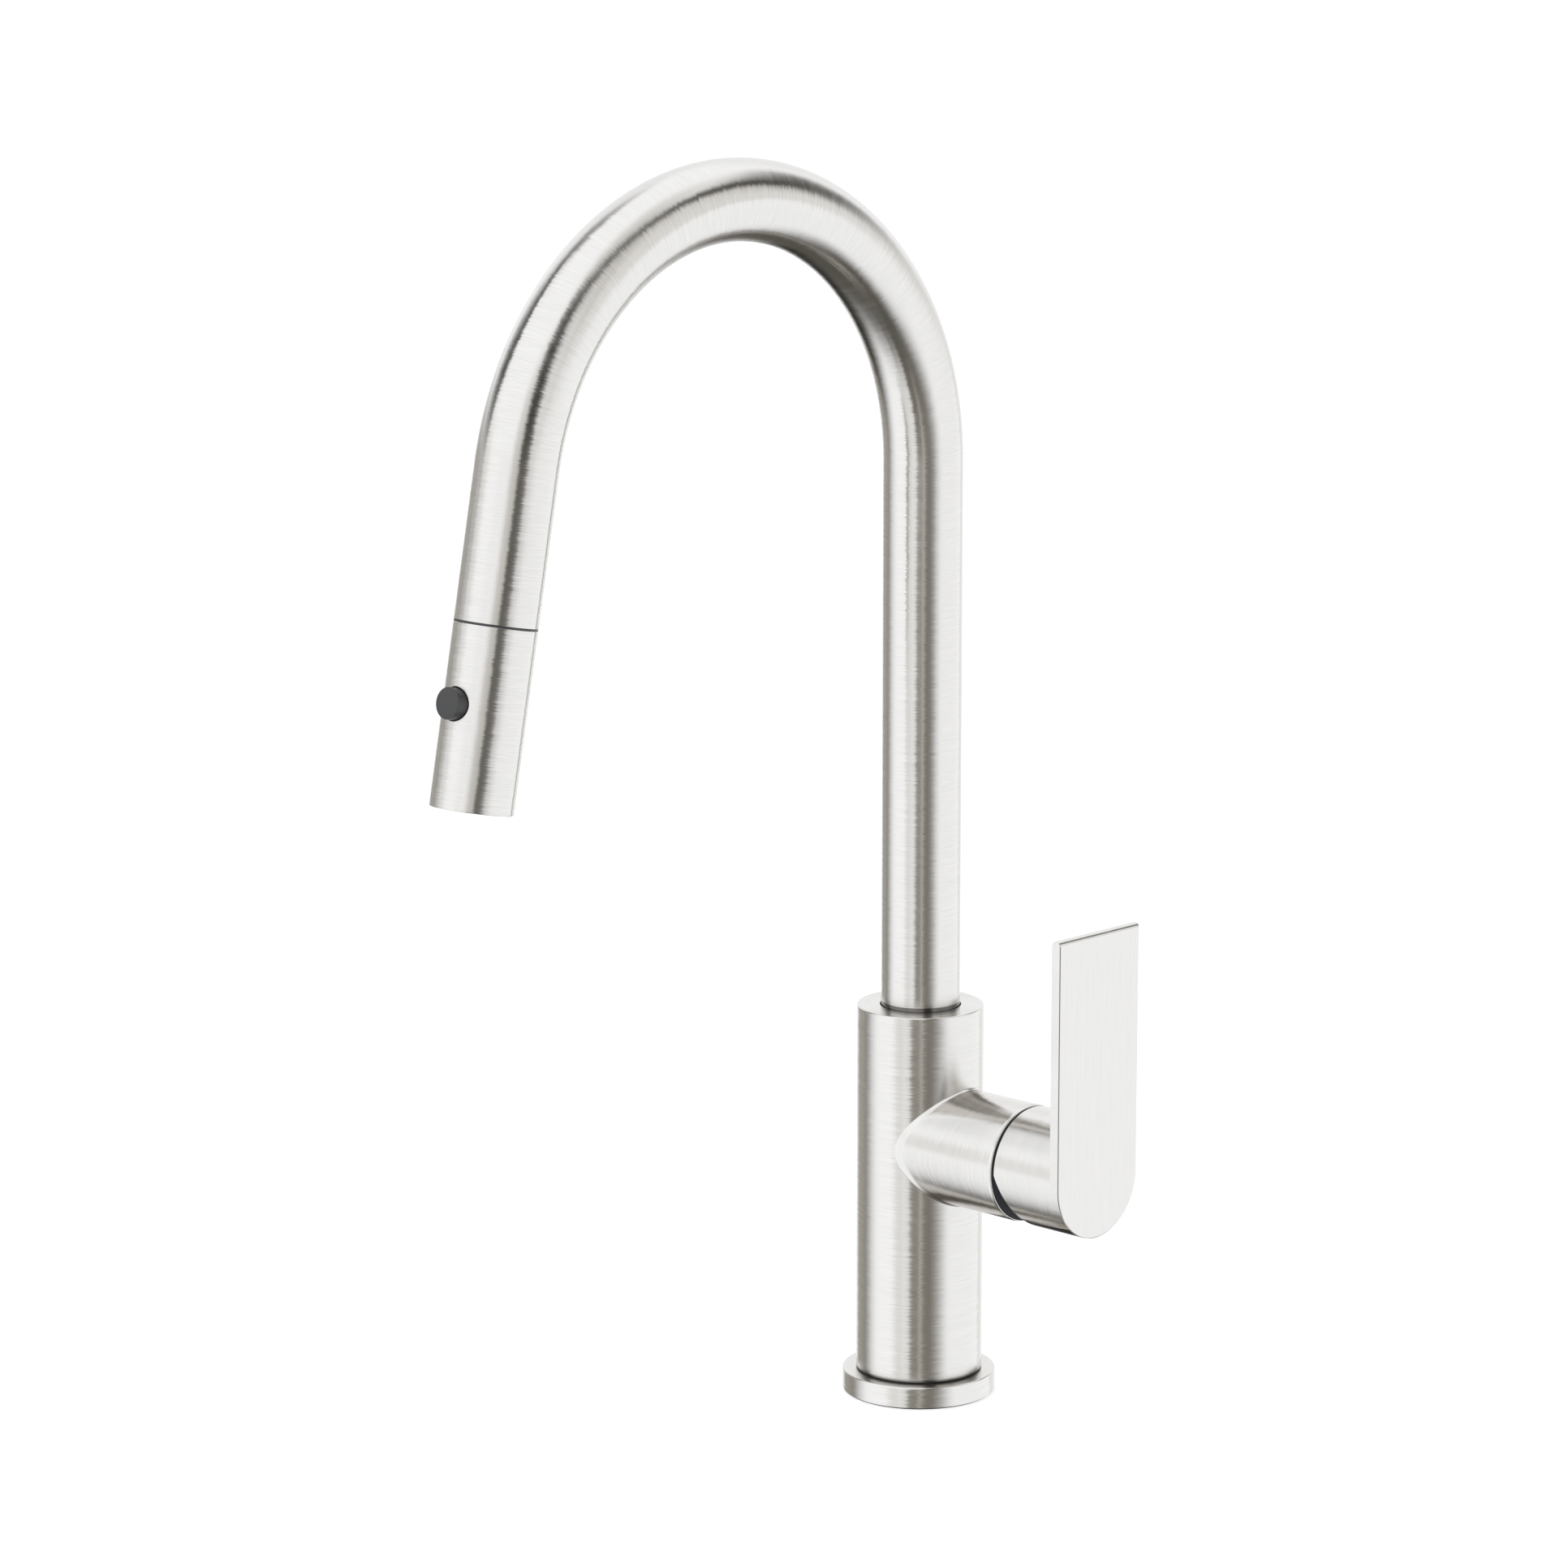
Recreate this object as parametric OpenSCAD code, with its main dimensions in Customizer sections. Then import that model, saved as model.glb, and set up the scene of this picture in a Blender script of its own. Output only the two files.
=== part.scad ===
// Single-lever kitchen faucet with a high-arc swivel spout and a pull-down spray head.
// Millimetres, +Z up. The origin is the centre of the underside of the deck gasket, on the deck.
// The spout points along -Y and the lever sits on the +X side.

/* [Body] */
// Outside diameter of the upright body
body_d = 45; // [44.5:0.1:46]
// Height of the body's top above the deck
body_top = 142.1; // [141:0.1:150]
// Outside diameter of the flange that stands on the deck
flange_d = 54.7; // [52:0.1:60]
// Height of the flange's top above the deck
flange_top = 8.1; // [7:0.1:9]
// Wall of the body
body_wall = 2.5; // [2.4:0.1:2.6]

/* [Spout] */
// Outside diameter of the spout and of the spray head
spout_d = 28; // [27.8:0.1:28.2]
// Wall of the spout tube
spout_wall = 1.5; // [1.4:0.1:1.5]
// Height at which the straight riser ends and the arc begins
riser_top = 336.8; // [250:0.1:400]
// Radius of the arc's centre line
arc_r = 98; // [80:0.5:120]
// Lean of the outlet leg from the vertical, in degrees
leg_lean = 11.15; // [5:0.05:20]
// Straight length of tube between the arc and the docking ring
leg_len = 51.3; // [51:0.1:80]

/* [Spray head] */
// Length of the spray head below the docking ring
head_len = 60.6; // [60:0.1:64]
// Distance from the top of the head to the button's centre
button_down = 26.35; // [26:0.05:27]
// Diameter of the button
button_d = 10.6; // [10:0.1:10.8]
// Height of the button above the head's side
button_proud = 3.2; // [2.6:0.1:3.2]
// Number of rubber nozzles in the ring around the aerator
nozzle_count = 16; // [10:1:18]

/* [Lever and valve] */
// Height of the valve's axis above the deck
valve_z = 93.4; // [93:0.1:95]
// Outside diameter of the valve housing that stands out of the body's side
housing_d = 41.6; // [41.5:0.1:42]
// Distance from the body's axis to the housing's end face
housing_end = 52.6; // [52.4:0.1:52.6]
// Diameter of the lever's round hub, and width of its blade
hub_d = 41.4; // [41.2:0.1:41.6]
// Distance from the body's axis to the blade's outer face
blade_face = 83.8; // [83:0.1:88]
// Thickness of the blade
blade_t = 3.8; // [3:0.1:4.5]
// Height of the blade's top edge above the deck
blade_top = 181.6; // [150:0.1:200]
// Largest lift of the lever, in degrees
lift_max = 22.4; // [20:0.1:22.5]

/* [Below the deck] */
// Thickness of the deck that the fixings are drawn on
deck_t = 20; // [5:1:34]
// Outside diameter of the threaded shank, for a 35 mm hole
shank_d = 33; // [32:0.1:33]
// Length of the shank below the deck
shank_len = 50; // [50:1:80]

/* [Hidden] */
$fn = 96;
eps = 0.01;

// materials' colours
steel = [0.78, 0.77, 0.75];
dark_plastic = [0.16, 0.16, 0.17];
white_plastic = [0.90, 0.90, 0.88];
rubber = [0.06, 0.06, 0.06];
brass = [0.78, 0.62, 0.33];
ceramic = [0.93, 0.92, 0.88];
hose_grey = [0.35, 0.36, 0.38];

// body and flange
body_r = body_d / 2;
bore_r = body_r - body_wall;
gasket_t = 1;
seat_t = 0.4;
body_bottom = flange_top + seat_t;
body_lid = 3;
lid_under = body_top - body_lid;
edge = 0.7;
shank_r = shank_d / 2;
shank_bore_r = 14.5;
collar_h = 12;

// swivel bearing at the top of the body
running = 0.05;
spout_r = spout_d / 2;
tube_bore_r = spout_r - spout_wall;
ring_h = 8;
lower_ring_h = 6;
collar_len = 6.6;
collar_gap = 0.15;
upper_ring_z = lid_under - ring_h;
collar_z = upper_ring_z - collar_gap - collar_len;
lower_ring_z = collar_z - collar_gap - lower_ring_h;
circlip_t = 1.2;
circlip_z = lower_ring_z - circlip_t;
circlip_depth = 0.8;
tube_bottom = circlip_z + 0.4;
weld_step = 0.02;
weld_lap = 0.5;

// outlet leg: distances run along its axis from the end of the arc
arc_end_angle = 180 - leg_lean;
dock_ring_t = 0.7;
head_start = leg_len + 0.75;
head_end = head_start + head_len;
button_s = head_start + button_down;
head_wall = 1.3;
head_bore_r = spout_r - head_wall;
dock_len = 23;
dock_bore_r = 10.5;
nose_len = 6.5;
nose_r = 10.35;

// hose and its swivelling connector, along the leg
hose_r = 6;
hose_bottom = -shank_len - 6;
ferrule_start = 16;
hose_end = 26;
ferrule_end = 33.3;
ferrule_r = 7.4;
stem_r = 5;
stem_head_start = 38;
stem_head_end = 41;
stem_head_r = 6.2;
connector_start = ferrule_end + 0.3;
connector_end = head_start - nose_len;
connector_r = 9.2;
connector_bore_r = 6.5;
washer_t = 0.55;
washer_start = stem_head_end + 0.05;
waterway_r = 3.2;

// inside of the spray head, along the leg
core_start = head_start + 2;
core_end = head_end - 8.65;
core_r = head_bore_r - 0.1;
channel_r = 4.5;
valve_chamber_r = 5;
seal_s = core_start + 2.8;
seal_wire_r = 0.74;
mat_t = 2;
face_end = head_end - 1.65;
nozzle_ring_r = 9.7;
nozzle_r = 0.9;
nozzle_end = face_end + 0.7;
aerator_r = 6.5;
aerator_start = core_end - 4;
aerator_end = face_end + 0.3;
aerator_hole_r = 0.7;
aerator_pitch = 2.3;

// button and diverter, measured from the leg's axis towards the front
button_r = button_d / 2;
button_face = spout_r + button_proud;
button_top_t = 3.7;
button_skirt = 9.2;
button_skirt_wall = 1;
button_hole_r = button_r + 0.45;
guide_start = 4.4;
guide_end = 6.2;
spool_rod_r = 2;
spool_low = -7;
spool_land_r = 4.5;
spool_land_t = 2;
spool_land_at = [-7, 0.5];
spool_seal_t = 0.8;
chamber_low = -10;
spring_r = 3.1;
spring_wire_r = 0.35;
spring_turns = 5;

// valve: distances run along the lever's axis from the body's axis
housing_r = housing_d / 2;
spigot_r = 19.2;
spigot_start = 16.2;
cartridge_seat = 22.5;
cartridge_r = 17.5;
mouth_start = 44.5;
mouth_r = 19.2;
lip_r = housing_r + 1.5;
lip_half_width = housing_r + 0.6;
lip_t = 0.6;
port_x = 11.3;
port_y = 8;
port_r = 3.5;
port_len = 8.5;
passage_r = 2.8;
manifold_start = 7;
manifold_low = -19;
manifold_high = 17;
inlet_y = 7;
inlet_z = 4.5;
outlet_z = -7.3;
water_hole_r = 3;
water_holes = [[-inlet_y, inlet_z], [inlet_y, inlet_z], [0, outlet_z]];
peg_at = [[-11.5, -6], [11.5, -6]];
peg_r = 1.5;
peg_len = 2.2;
screw_at = [[-5, 13], [5, 13]];
screw_r = 2;
screw_head_r = 3.3;
screw_head_t = 2.6;

// cartridge
base_t = 4.3;
base_start = cartridge_seat + 0.2;
disc_start = base_start + base_t;
disc_t = 4;
fixed_disc_r = 13.8;
moving_disc_r = 11.3;
moving_disc_start = disc_start + disc_t + running;
moving_disc_t = 3.45;
holder_start = moving_disc_start + moving_disc_t;
holder_t = 3.5;
holder_block_end = 43;
cartridge_bore_r = 14.5;
disc_offset = moving_disc_r + 0.45 - cartridge_bore_r;
shoulder_in = 44;
shoulder_out = 46;
neck_r = 14.6;
neck_step = 51.3;
tip_r = 12.6;
cartridge_end = 57;
neck_bore_r = 11 + running;
carrier_start = 38.3;
carrier_end = 56.6;
carrier_r = 14.3;
carrier_neck_r = 11;
slot_half = 4.05;
pivot_x = 54;
ball_x = 40;
ball_r = 3;
pin_r = 1.5;
nut_t = neck_step - shoulder_out;

// lever
hub_r = hub_d / 2;
hub_start = housing_end + 1.2;
blade_back = blade_face - blade_t;
cavity_r = 18.5;
cavity_step = 60;
cavity_end = 68;
cavity_end_r = 15;
stem_side = 8;
stem_end = 77;
socket_side = stem_side + 0.1;
grub_x = 73;
grub_r = 2.4;
grub_start = 4.1;
grub_end = 14;
plug_r = 3.2;
plug_t = 1.8;

// ---- frames and shared shapes ----

// Turns local +Z to the lever's axis (+X), local X to the body's Y and local Y to its Z.
module on_valve() {
    translate([0, 0, valve_z])
        rotate([90, 0, 90])
            children();
}

// Turns local +Z to run down the outlet leg from the end of the arc, and local +Y to its front.
module on_leg() {
    translate([0, -arc_r - arc_r * cos(leg_lean), riser_top + arc_r * sin(leg_lean)])
        rotate([180 - leg_lean, 0, 0])
            children();
}

// On the leg, turns local +Z to the button's outward direction.
module on_button() {
    on_leg()
        translate([0, 0, button_s])
            rotate([-90, 0, 0])
                children();
}

module tube(outer, inner, from, to) {
    translate([0, 0, from])
        linear_extrude(to - from)
            difference() {
                circle(outer);
                circle(inner);
            }
}

module rod(r, from, to) {
    translate([0, 0, from])
        cylinder(r = r, h = to - from);
}

module block(half_x, y0, y1, from, to) {
    translate([-half_x, y0, from])
        cube([2 * half_x, y1 - y0, to - from]);
}

// A round wire along a list of points: rings square to the path, joined by triangles.
// side is a direction that the path never runs along, from which the rings are turned.
function unit(v) = v / norm(v);
function heading(path, i) = unit(path[min(i + 1, len(path) - 1)] - path[max(i - 1, 0)]);
function ring_point(centre, along, side, r, a) =
    let (across = unit(cross(side, along)))
    centre + r * (cos(a) * across + sin(a) * cross(along, across));
module swept(path, r, sides, side) {
    last = len(path) - 1;
    points = [for (i = [0:last]) for (k = [0:sides - 1])
        ring_point(path[i], heading(path, i), side, r, 360 * k / sides)];
    walls = [for (i = [0:last - 1]) for (k = [0:sides - 1]) let (n = (k + 1) % sides)
        each [[i * sides + k, (i + 1) * sides + n, i * sides + n],
            [i * sides + k, (i + 1) * sides + k, (i + 1) * sides + n]]];
    first_cap = [for (k = [0:sides - 1]) k];
    last_cap = [for (k = [sides - 1:-1:0]) last * sides + k];
    polyhedron(points, concat(walls, [first_cap], [last_cap]));
}

// ---- fixed on the deck ----

module deck_gasket() {
    color(rubber)
        tube(flange_d / 2 - 0.7, shank_r + 0.7, 0, gasket_t);
}

module base_flange() {
    flange_r = flange_d / 2;
    color(steel)
        rotate_extrude()
            polygon([[shank_r + 0.4, gasket_t], [flange_r - 0.2, gasket_t],
                [flange_r, gasket_t + 0.2], [flange_r, flange_top - edge],
                [flange_r - edge, flange_top], [shank_r + 0.4, flange_top]]);
}

module body_seat_ring() {
    color(rubber)
        tube(body_r - 0.6, shank_r + 1.5, flange_top, body_bottom);
}

module body_shell() {
    groove_r = bore_r + circlip_depth;
    color(steel)
        difference() {
            rotate_extrude()
                polygon([[bore_r, body_bottom], [body_r - 0.3, body_bottom],
                    [body_r, body_bottom + 0.3], [body_r, body_top - edge],
                    [body_r - edge, body_top], [spout_r + 0.4, body_top],
                    [spout_r + 0.4, lid_under], [bore_r, lid_under],
                    [bore_r, lower_ring_z], [groove_r, lower_ring_z],
                    [groove_r, circlip_z], [bore_r, circlip_z]]);
            on_valve()
                rod(spigot_r + 0.1, spigot_start - 0.2, body_r + 1);
        }
}

module threaded_shank() {
    collar_r = bore_r - 0.05;
    color(brass)
        rotate_extrude()
            polygon([[shank_bore_r, -shank_len], [shank_r - 1, -shank_len],
                [shank_r, -shank_len + 1], [shank_r, body_bottom],
                [collar_r, body_bottom], [collar_r, body_bottom + collar_h],
                [shank_bore_r, body_bottom + collar_h]]);
}

module deck_washer() {
    color(rubber)
        tube(27, shank_r + 0.3, -deck_t - 2, -deck_t);
}

module clamp_washer() {
    color(steel)
        tube(26, shank_r + 0.3, -deck_t - 4, -deck_t - 2);
}

module mounting_nut() {
    color(brass)
        difference() {
            translate([0, 0, -deck_t - 14])
                cylinder(r = 24, h = 10, $fn = 6);
            rod(shank_r, -deck_t - 15, -deck_t);
        }
}

// ---- swivel bearing ----

module upper_glide_ring() {
    color(white_plastic)
        tube(bore_r - 0.05, spout_r + running, upper_ring_z, lid_under);
}

module lower_glide_ring() {
    color(white_plastic)
        tube(bore_r - 0.05, spout_r + running, lower_ring_z, lower_ring_z + lower_ring_h);
}

module glide_circlip() {
    color(steel)
        difference() {
            tube(bore_r + circlip_depth - 0.1, bore_r - 1.8, circlip_z, circlip_z + circlip_t);
            translate([0, -3, circlip_z - 1])
                cube([bore_r + 2, 6, circlip_t + 2]);
        }
}

// ---- valve housing and manifold ----

// The saddle lip where the housing meets the body's round side.
module saddle_lip() {
    intersection() {
        difference() {
            cylinder(r = body_r + lip_t, h = valve_z * 2);
            translate([0, 0, -1])
                cylinder(r = body_r, h = valve_z * 2 + 2);
        }
        on_valve()
            rod(lip_r, 4, body_r + lip_t + 1);
        translate([0, -lip_half_width, 0])
            cube([body_r * 2, 2 * lip_half_width, valve_z * 2]);
    }
}

module valve_housing() {
    color(steel)
        difference() {
            union() {
                difference() {
                    on_valve()
                        rotate_extrude()
                            polygon([[0, 4], [housing_r, 4], [housing_r, housing_end - edge],
                                [housing_r - edge, housing_end], [0, housing_end]]);
                    cylinder(r = body_r, h = valve_z * 2);
                }
                on_valve()
                    rod(spigot_r, spigot_start, body_r + 2);
                saddle_lip();
            }
            on_valve() {
                rod(cartridge_r + 0.1, cartridge_seat, housing_end + 1);
                rod(mouth_r, mouth_start, housing_end + 1);
                for (at = water_holes)
                    translate(at)
                        rod(water_hole_r, spigot_start - 1, cartridge_seat + 1);
                for (at = peg_at)
                    translate(at)
                        rod(peg_r + 0.1, cartridge_seat - peg_len, cartridge_seat + 1);
                for (at = screw_at)
                    translate(at) {
                        rod(screw_r + 0.1, spigot_start - 1, cartridge_seat + 1);
                        rod(screw_head_r + 0.1, cartridge_seat - screw_head_t, cartridge_seat + 1);
                    }
            }
        }
}

module valve_manifold() {
    low = valve_z + manifold_low;
    color(brass)
        difference() {
            intersection() {
                translate([0, 0, low])
                    cylinder(r = bore_r - 0.1, h = manifold_high - manifold_low);
                translate([manifold_start, -bore_r, low])
                    cube([spigot_start - manifold_start, 2 * bore_r, manifold_high - manifold_low]);
            }
            for (y = [-port_y, 0, port_y])
                translate([port_x, y, low - 1]) {
                    cylinder(r = port_r, h = port_len + 1);
                    cylinder(r = passage_r, h = -manifold_low + (y == 0 ? outlet_z : inlet_z) + 1);
                }
            on_valve() {
                for (at = water_holes)
                    translate(at) {
                        rod(passage_r, port_x, spigot_start + 1);
                        rod(5, spigot_start - 0.8, spigot_start + 1);
                    }
                for (at = screw_at)
                    translate(at)
                        rod(screw_r, spigot_start - 5, spigot_start + 1);
            }
        }
}

module manifold_seals() {
    color(rubber)
        on_valve()
            for (at = water_holes)
                translate(at)
                    tube(4.95, 3.4, spigot_start - 0.8, spigot_start);
}

module manifold_screws() {
    color(steel)
        on_valve()
            for (at = screw_at)
                translate(at)
                    difference() {
                        union() {
                            rod(screw_r, spigot_start - 4.8, cartridge_seat - 1);
                            rod(screw_head_r, cartridge_seat - screw_head_t, cartridge_seat - 0.1);
                        }
                        translate([0, 0, cartridge_seat - 1.6])
                            cylinder(r = 1.7, h = 3, $fn = 6);
                    }
}

// ---- cartridge ----

module cartridge_body() {
    color(dark_plastic)
        on_valve()
            rotate_extrude()
                polygon([[cartridge_bore_r, disc_start], [cartridge_r, disc_start],
                    [cartridge_r, shoulder_out], [neck_r, shoulder_out], [neck_r, neck_step],
                    [tip_r, neck_step], [tip_r, cartridge_end], [neck_bore_r, cartridge_end],
                    [neck_bore_r, shoulder_in], [cartridge_bore_r, shoulder_in]]);
}

module cartridge_base() {
    color(white_plastic)
        on_valve() {
            difference() {
                rod(cartridge_r - 0.2, base_start, disc_start);
                for (at = water_holes)
                    translate(at) {
                        rod(water_hole_r, base_start - 1, disc_start + 1);
                        rod(4.8, base_start - 1, base_start + 1.5);
                    }
            }
            for (at = peg_at)
                translate(at)
                    rod(peg_r, cartridge_seat - peg_len + 0.1, base_start + eps);
        }
}

module cartridge_seals() {
    color(rubber)
        on_valve()
            for (at = water_holes)
                translate(at)
                    tube(4.7, 3.3, cartridge_seat, base_start + 1.5);
}

module fixed_disc() {
    color(ceramic)
        on_valve()
            difference() {
                rod(fixed_disc_r, disc_start, disc_start + disc_t);
                for (at = water_holes)
                    translate(at)
                        rod(water_hole_r, disc_start - 1, disc_start + disc_t + 1);
            }
}

module cartridge_nut() {
    color(brass)
        on_valve()
            difference() {
                tube(mouth_r - 0.05, neck_r + 0.1, shoulder_out, shoulder_out + nut_t);
                for (a = [45:90:315])
                    rotate(a)
                        translate([mouth_r - 1.6, -2.5, shoulder_out + nut_t - 2.5])
                            cube([3, 5, 3]);
            }
}

module cartridge_trim() {
    rim_r = mouth_r - 0.1;
    dome_r = 17.5;
    crown_x = 56;
    color(steel)
        on_valve()
            rotate_extrude()
                polygon([[tip_r + 0.1, neck_step], [rim_r, neck_step], [rim_r, neck_step + 0.6],
                    [dome_r, neck_step + 1.8], [dome_r - 1.5, neck_step + 3.2],
                    [dome_r - 3.2, crown_x - 0.3], [tip_r + 0.1, crown_x]]);
}

// ---- turns with the lever ----

module stem_carrier() {
    color(white_plastic)
        on_valve()
            difference() {
                union() {
                    rod(carrier_r, carrier_start, shoulder_in - 0.2);
                    rod(carrier_neck_r, carrier_start, carrier_end);
                }
                block(slot_half, -5.7, 9.8, carrier_start - 1, shoulder_in + 1);
                block(slot_half, -6.2, 7.2, shoulder_in, carrier_end + 1);
                translate([0, 0, pivot_x])
                    rotate([0, 90, 0])
                        rod(pin_r, -12, 12);
            }
}

module stem_pin() {
    color(steel)
        on_valve()
            translate([0, 0, pivot_x])
                rotate([0, 90, 0])
                    rod(pin_r, -10, 10);
}

// ---- slides as the lever lifts ----

module moving_disc() {
    color(ceramic)
        on_valve()
            translate([0, disc_offset, 0])
                rod(moving_disc_r, moving_disc_start, holder_start);
}

module disc_holder() {
    color(dark_plastic)
        on_valve()
            difference() {
                union() {
                    translate([0, disc_offset, 0])
                        rod(moving_disc_r, holder_start, holder_start + holder_t);
                    block(slot_half - 0.05, -5.5, 4, holder_start, holder_block_end);
                }
                block(ball_r + 0.1, -4.2, ball_r + 0.1, ball_x - 3.5, holder_block_end + 1);
            }
}

// ---- lifts with the lever ----

module cartridge_stem() {
    half = stem_side / 2;
    color(brass)
        on_valve()
            difference() {
                union() {
                    block(half - 0.05, -half, half, pivot_x - 5.5, pivot_x + 4);
                    block(half, -half, half, pivot_x + 3.5, stem_end);
                    rod(2.4, ball_x, pivot_x - 5);
                    translate([0, 0, ball_x])
                        sphere(ball_r);
                }
                translate([0, 0, pivot_x])
                    rotate([0, 90, 0])
                        rod(pin_r + running, -6, 6);
            }
}

module lever_blade() {
    round_r = blade_t / 2;
    straight = blade_top - valve_z - round_r;
    translate([0, 0, blade_back])
        linear_extrude(blade_t) {
            circle(hub_r);
            translate([-hub_r, 0])
                square([hub_d, straight]);
        }
    translate([-hub_r, straight, blade_back + round_r])
        rotate([0, 90, 0])
            cylinder(r = round_r, h = hub_d);
}

module lever_handle() {
    color(steel)
        on_valve()
            difference() {
                union() {
                    rod(hub_r, hub_start, blade_back + 1);
                    lever_blade();
                }
                rod(cavity_r, hub_start - 1, cavity_step);
                translate([0, 0, cavity_step - eps])
                    cylinder(r1 = cavity_r, r2 = cavity_end_r, h = cavity_end - cavity_step + eps);
                block(socket_side / 2, -socket_side / 2, socket_side / 2,
                    cavity_end - 1, stem_end + 0.5);
                translate([0, 0, grub_x])
                    rotate([90, 0, 0]) {
                        rod(grub_r + 0.1, 3, hub_r + 1);
                        rod(plug_r, hub_r - plug_t - 0.5, hub_r + 1);
                    }
                translate([0, 0, hub_start + 0.1])
                    rotate([-lift_max, 0, 0])
                        translate([-hub_d, -2 * hub_d, -hub_d])
                            cube([2 * hub_d, 2 * hub_d, hub_d]);
            }
}

module lever_grub_screw() {
    color(steel)
        on_valve()
            translate([0, 0, grub_x])
                rotate([90, 0, 0])
                    difference() {
                        rod(grub_r, grub_start, grub_end);
                        translate([0, 0, grub_end - 3])
                            cylinder(r = 1.4, h = 4, $fn = 6);
                    }
}

module grub_screw_plug() {
    color(dark_plastic)
        on_valve()
            translate([0, 0, grub_x])
                rotate([90, 0, 0])
                    rod(plug_r - 0.02, hub_r - plug_t - 0.5, hub_r - 0.4);
}

// ---- spout ----

module spout_tube() {
    color(steel) {
        tube(spout_r, tube_bore_r, tube_bottom, riser_top);
        translate([0, -arc_r, riser_top])
            rotate([90, 0, 90])
                rotate_extrude(angle = arc_end_angle, $fn = 192)
                    translate([arc_r, 0])
                        difference() {
                            circle(spout_r);
                            circle(tube_bore_r);
                        }
        on_leg()
            tube(spout_r + weld_step, tube_bore_r - weld_step, -weld_lap, leg_len);
    }
}

module spout_collar() {
    color(brass)
        tube(spout_r + 3.5, spout_r, collar_z, collar_z + collar_len);
}

module dock_bushing() {
    start = leg_len - dock_len;
    color(dark_plastic)
        on_leg()
            rotate_extrude()
                polygon([[tube_bore_r - 0.4, start], [tube_bore_r - 0.05, start],
                    [tube_bore_r - 0.05, leg_len], [dock_bore_r, leg_len],
                    [dock_bore_r, start + 5]]);
}

module dock_ring() {
    color(dark_plastic)
        on_leg()
            tube(spout_r - 0.15, dock_bore_r, leg_len, leg_len + dock_ring_t);
}

// The hose runs up the middle of the body and riser, over the arc and down the leg.
hose_riser = [for (k = [0:16]) [0, 0, hose_bottom + (riser_top - hose_bottom) * k / 16]];
hose_arc = [for (k = [1:28]) let (a = arc_end_angle * k / 28)
    [0, -arc_r + arc_r * cos(a), riser_top + arc_r * sin(a)]];
hose_leg = [for (k = [1:2]) let (s = hose_end * k / 2)
    [0, -arc_r - arc_r * cos(leg_lean) - s * sin(leg_lean),
        riser_top + arc_r * sin(leg_lean) - s * cos(leg_lean)]];

module spray_hose() {
    route = concat(hose_riser, hose_arc, hose_leg);
    color(hose_grey)
        swept(route, hose_r, 12, [1, 0, 0]);
}

module hose_tail_nut() {
    nut_len = 16;
    color(brass)
        difference() {
            translate([0, 0, hose_bottom + 4 - nut_len])
                cylinder(r = 9.5, h = nut_len, $fn = 6);
            rod(hose_r, hose_bottom, hose_bottom + 5);
            rod(waterway_r, hose_bottom - nut_len, hose_bottom + 1);
        }
}

// ---- end of the hose ----

module hose_ferrule() {
    color(brass)
        on_leg()
            rotate_extrude()
                polygon([[hose_r, ferrule_start], [ferrule_r, ferrule_start],
                    [ferrule_r, ferrule_end], [stem_r, ferrule_end],
                    [stem_r, stem_head_start], [stem_head_r, stem_head_start],
                    [stem_head_r, stem_head_end], [waterway_r, stem_head_end],
                    [waterway_r, hose_end], [hose_r, hose_end]]);
}

// ---- spray head ----

module connector_nut() {
    color(brass)
        on_leg()
            rotate_extrude()
                polygon([[stem_r + running, connector_start],
                    [connector_r - 1, connector_start], [connector_r, connector_start + 1],
                    [connector_r, connector_end], [connector_bore_r, connector_end],
                    [connector_bore_r, stem_head_start - 0.2],
                    [stem_r + running, stem_head_start - 0.2]]);
}

module connector_washer() {
    color(rubber)
        on_leg()
            tube(stem_head_r, waterway_r, washer_start, washer_start + washer_t);
}

module head_shell() {
    break_edge = 0.2;
    color(steel)
        difference() {
            on_leg()
                rotate_extrude()
                    polygon([[head_bore_r, head_start], [spout_r - break_edge, head_start],
                        [spout_r, head_start + break_edge], [spout_r, head_end - break_edge],
                        [spout_r - break_edge, head_end], [head_bore_r, head_end]]);
            on_button()
                rod(button_hole_r, 8, spout_r + 2);
        }
}

module head_core() {
    spigot_end = washer_start + washer_t;
    color(dark_plastic)
        difference() {
            on_leg() {
                difference() {
                    union() {
                        rod(connector_bore_r - 0.05, spigot_end, connector_end + 1);
                        rod(nose_r, connector_end, core_start + 1);
                        rod(core_r, head_start, core_end);
                    }
                    rod(waterway_r, spigot_end - 1, core_start);
                    rod(valve_chamber_r, core_start - 4, core_start + 9);
                    rod(channel_r, core_start, core_end + 1);
                    rod(aerator_r + 0.05, aerator_start, core_end + 1);
                    tube(11.2, 8.2, aerator_start, core_end + 1);
                    tube(core_r + 1, core_r - 1.4, seal_s - 0.9, seal_s + 0.9);
                    translate([0, -9, 0])
                        rod(1.2, button_s, core_end);
                }
            }
            on_button() {
                rod(spool_land_r + running, chamber_low, guide_start);
                rod(button_hole_r, guide_start, spout_r);
            }
        }
}

module head_seal() {
    color(rubber)
        on_leg()
            translate([0, 0, seal_s])
                rotate_extrude()
                    translate([core_r - seal_wire_r + 0.08, 0])
                        circle(seal_wire_r, $fn = 32);
}

module check_valve() {
    color(white_plastic)
        on_leg()
            difference() {
                rod(valve_chamber_r - 0.05, core_start - 4, core_start + 9);
                rod(2.4, core_start - 5, core_start + 10);
            }
}

module nozzle_ring() {
    for (k = [0:nozzle_count - 1])
        rotate(360 * k / nozzle_count)
            translate([nozzle_ring_r, 0, 0])
                children();
}

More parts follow.
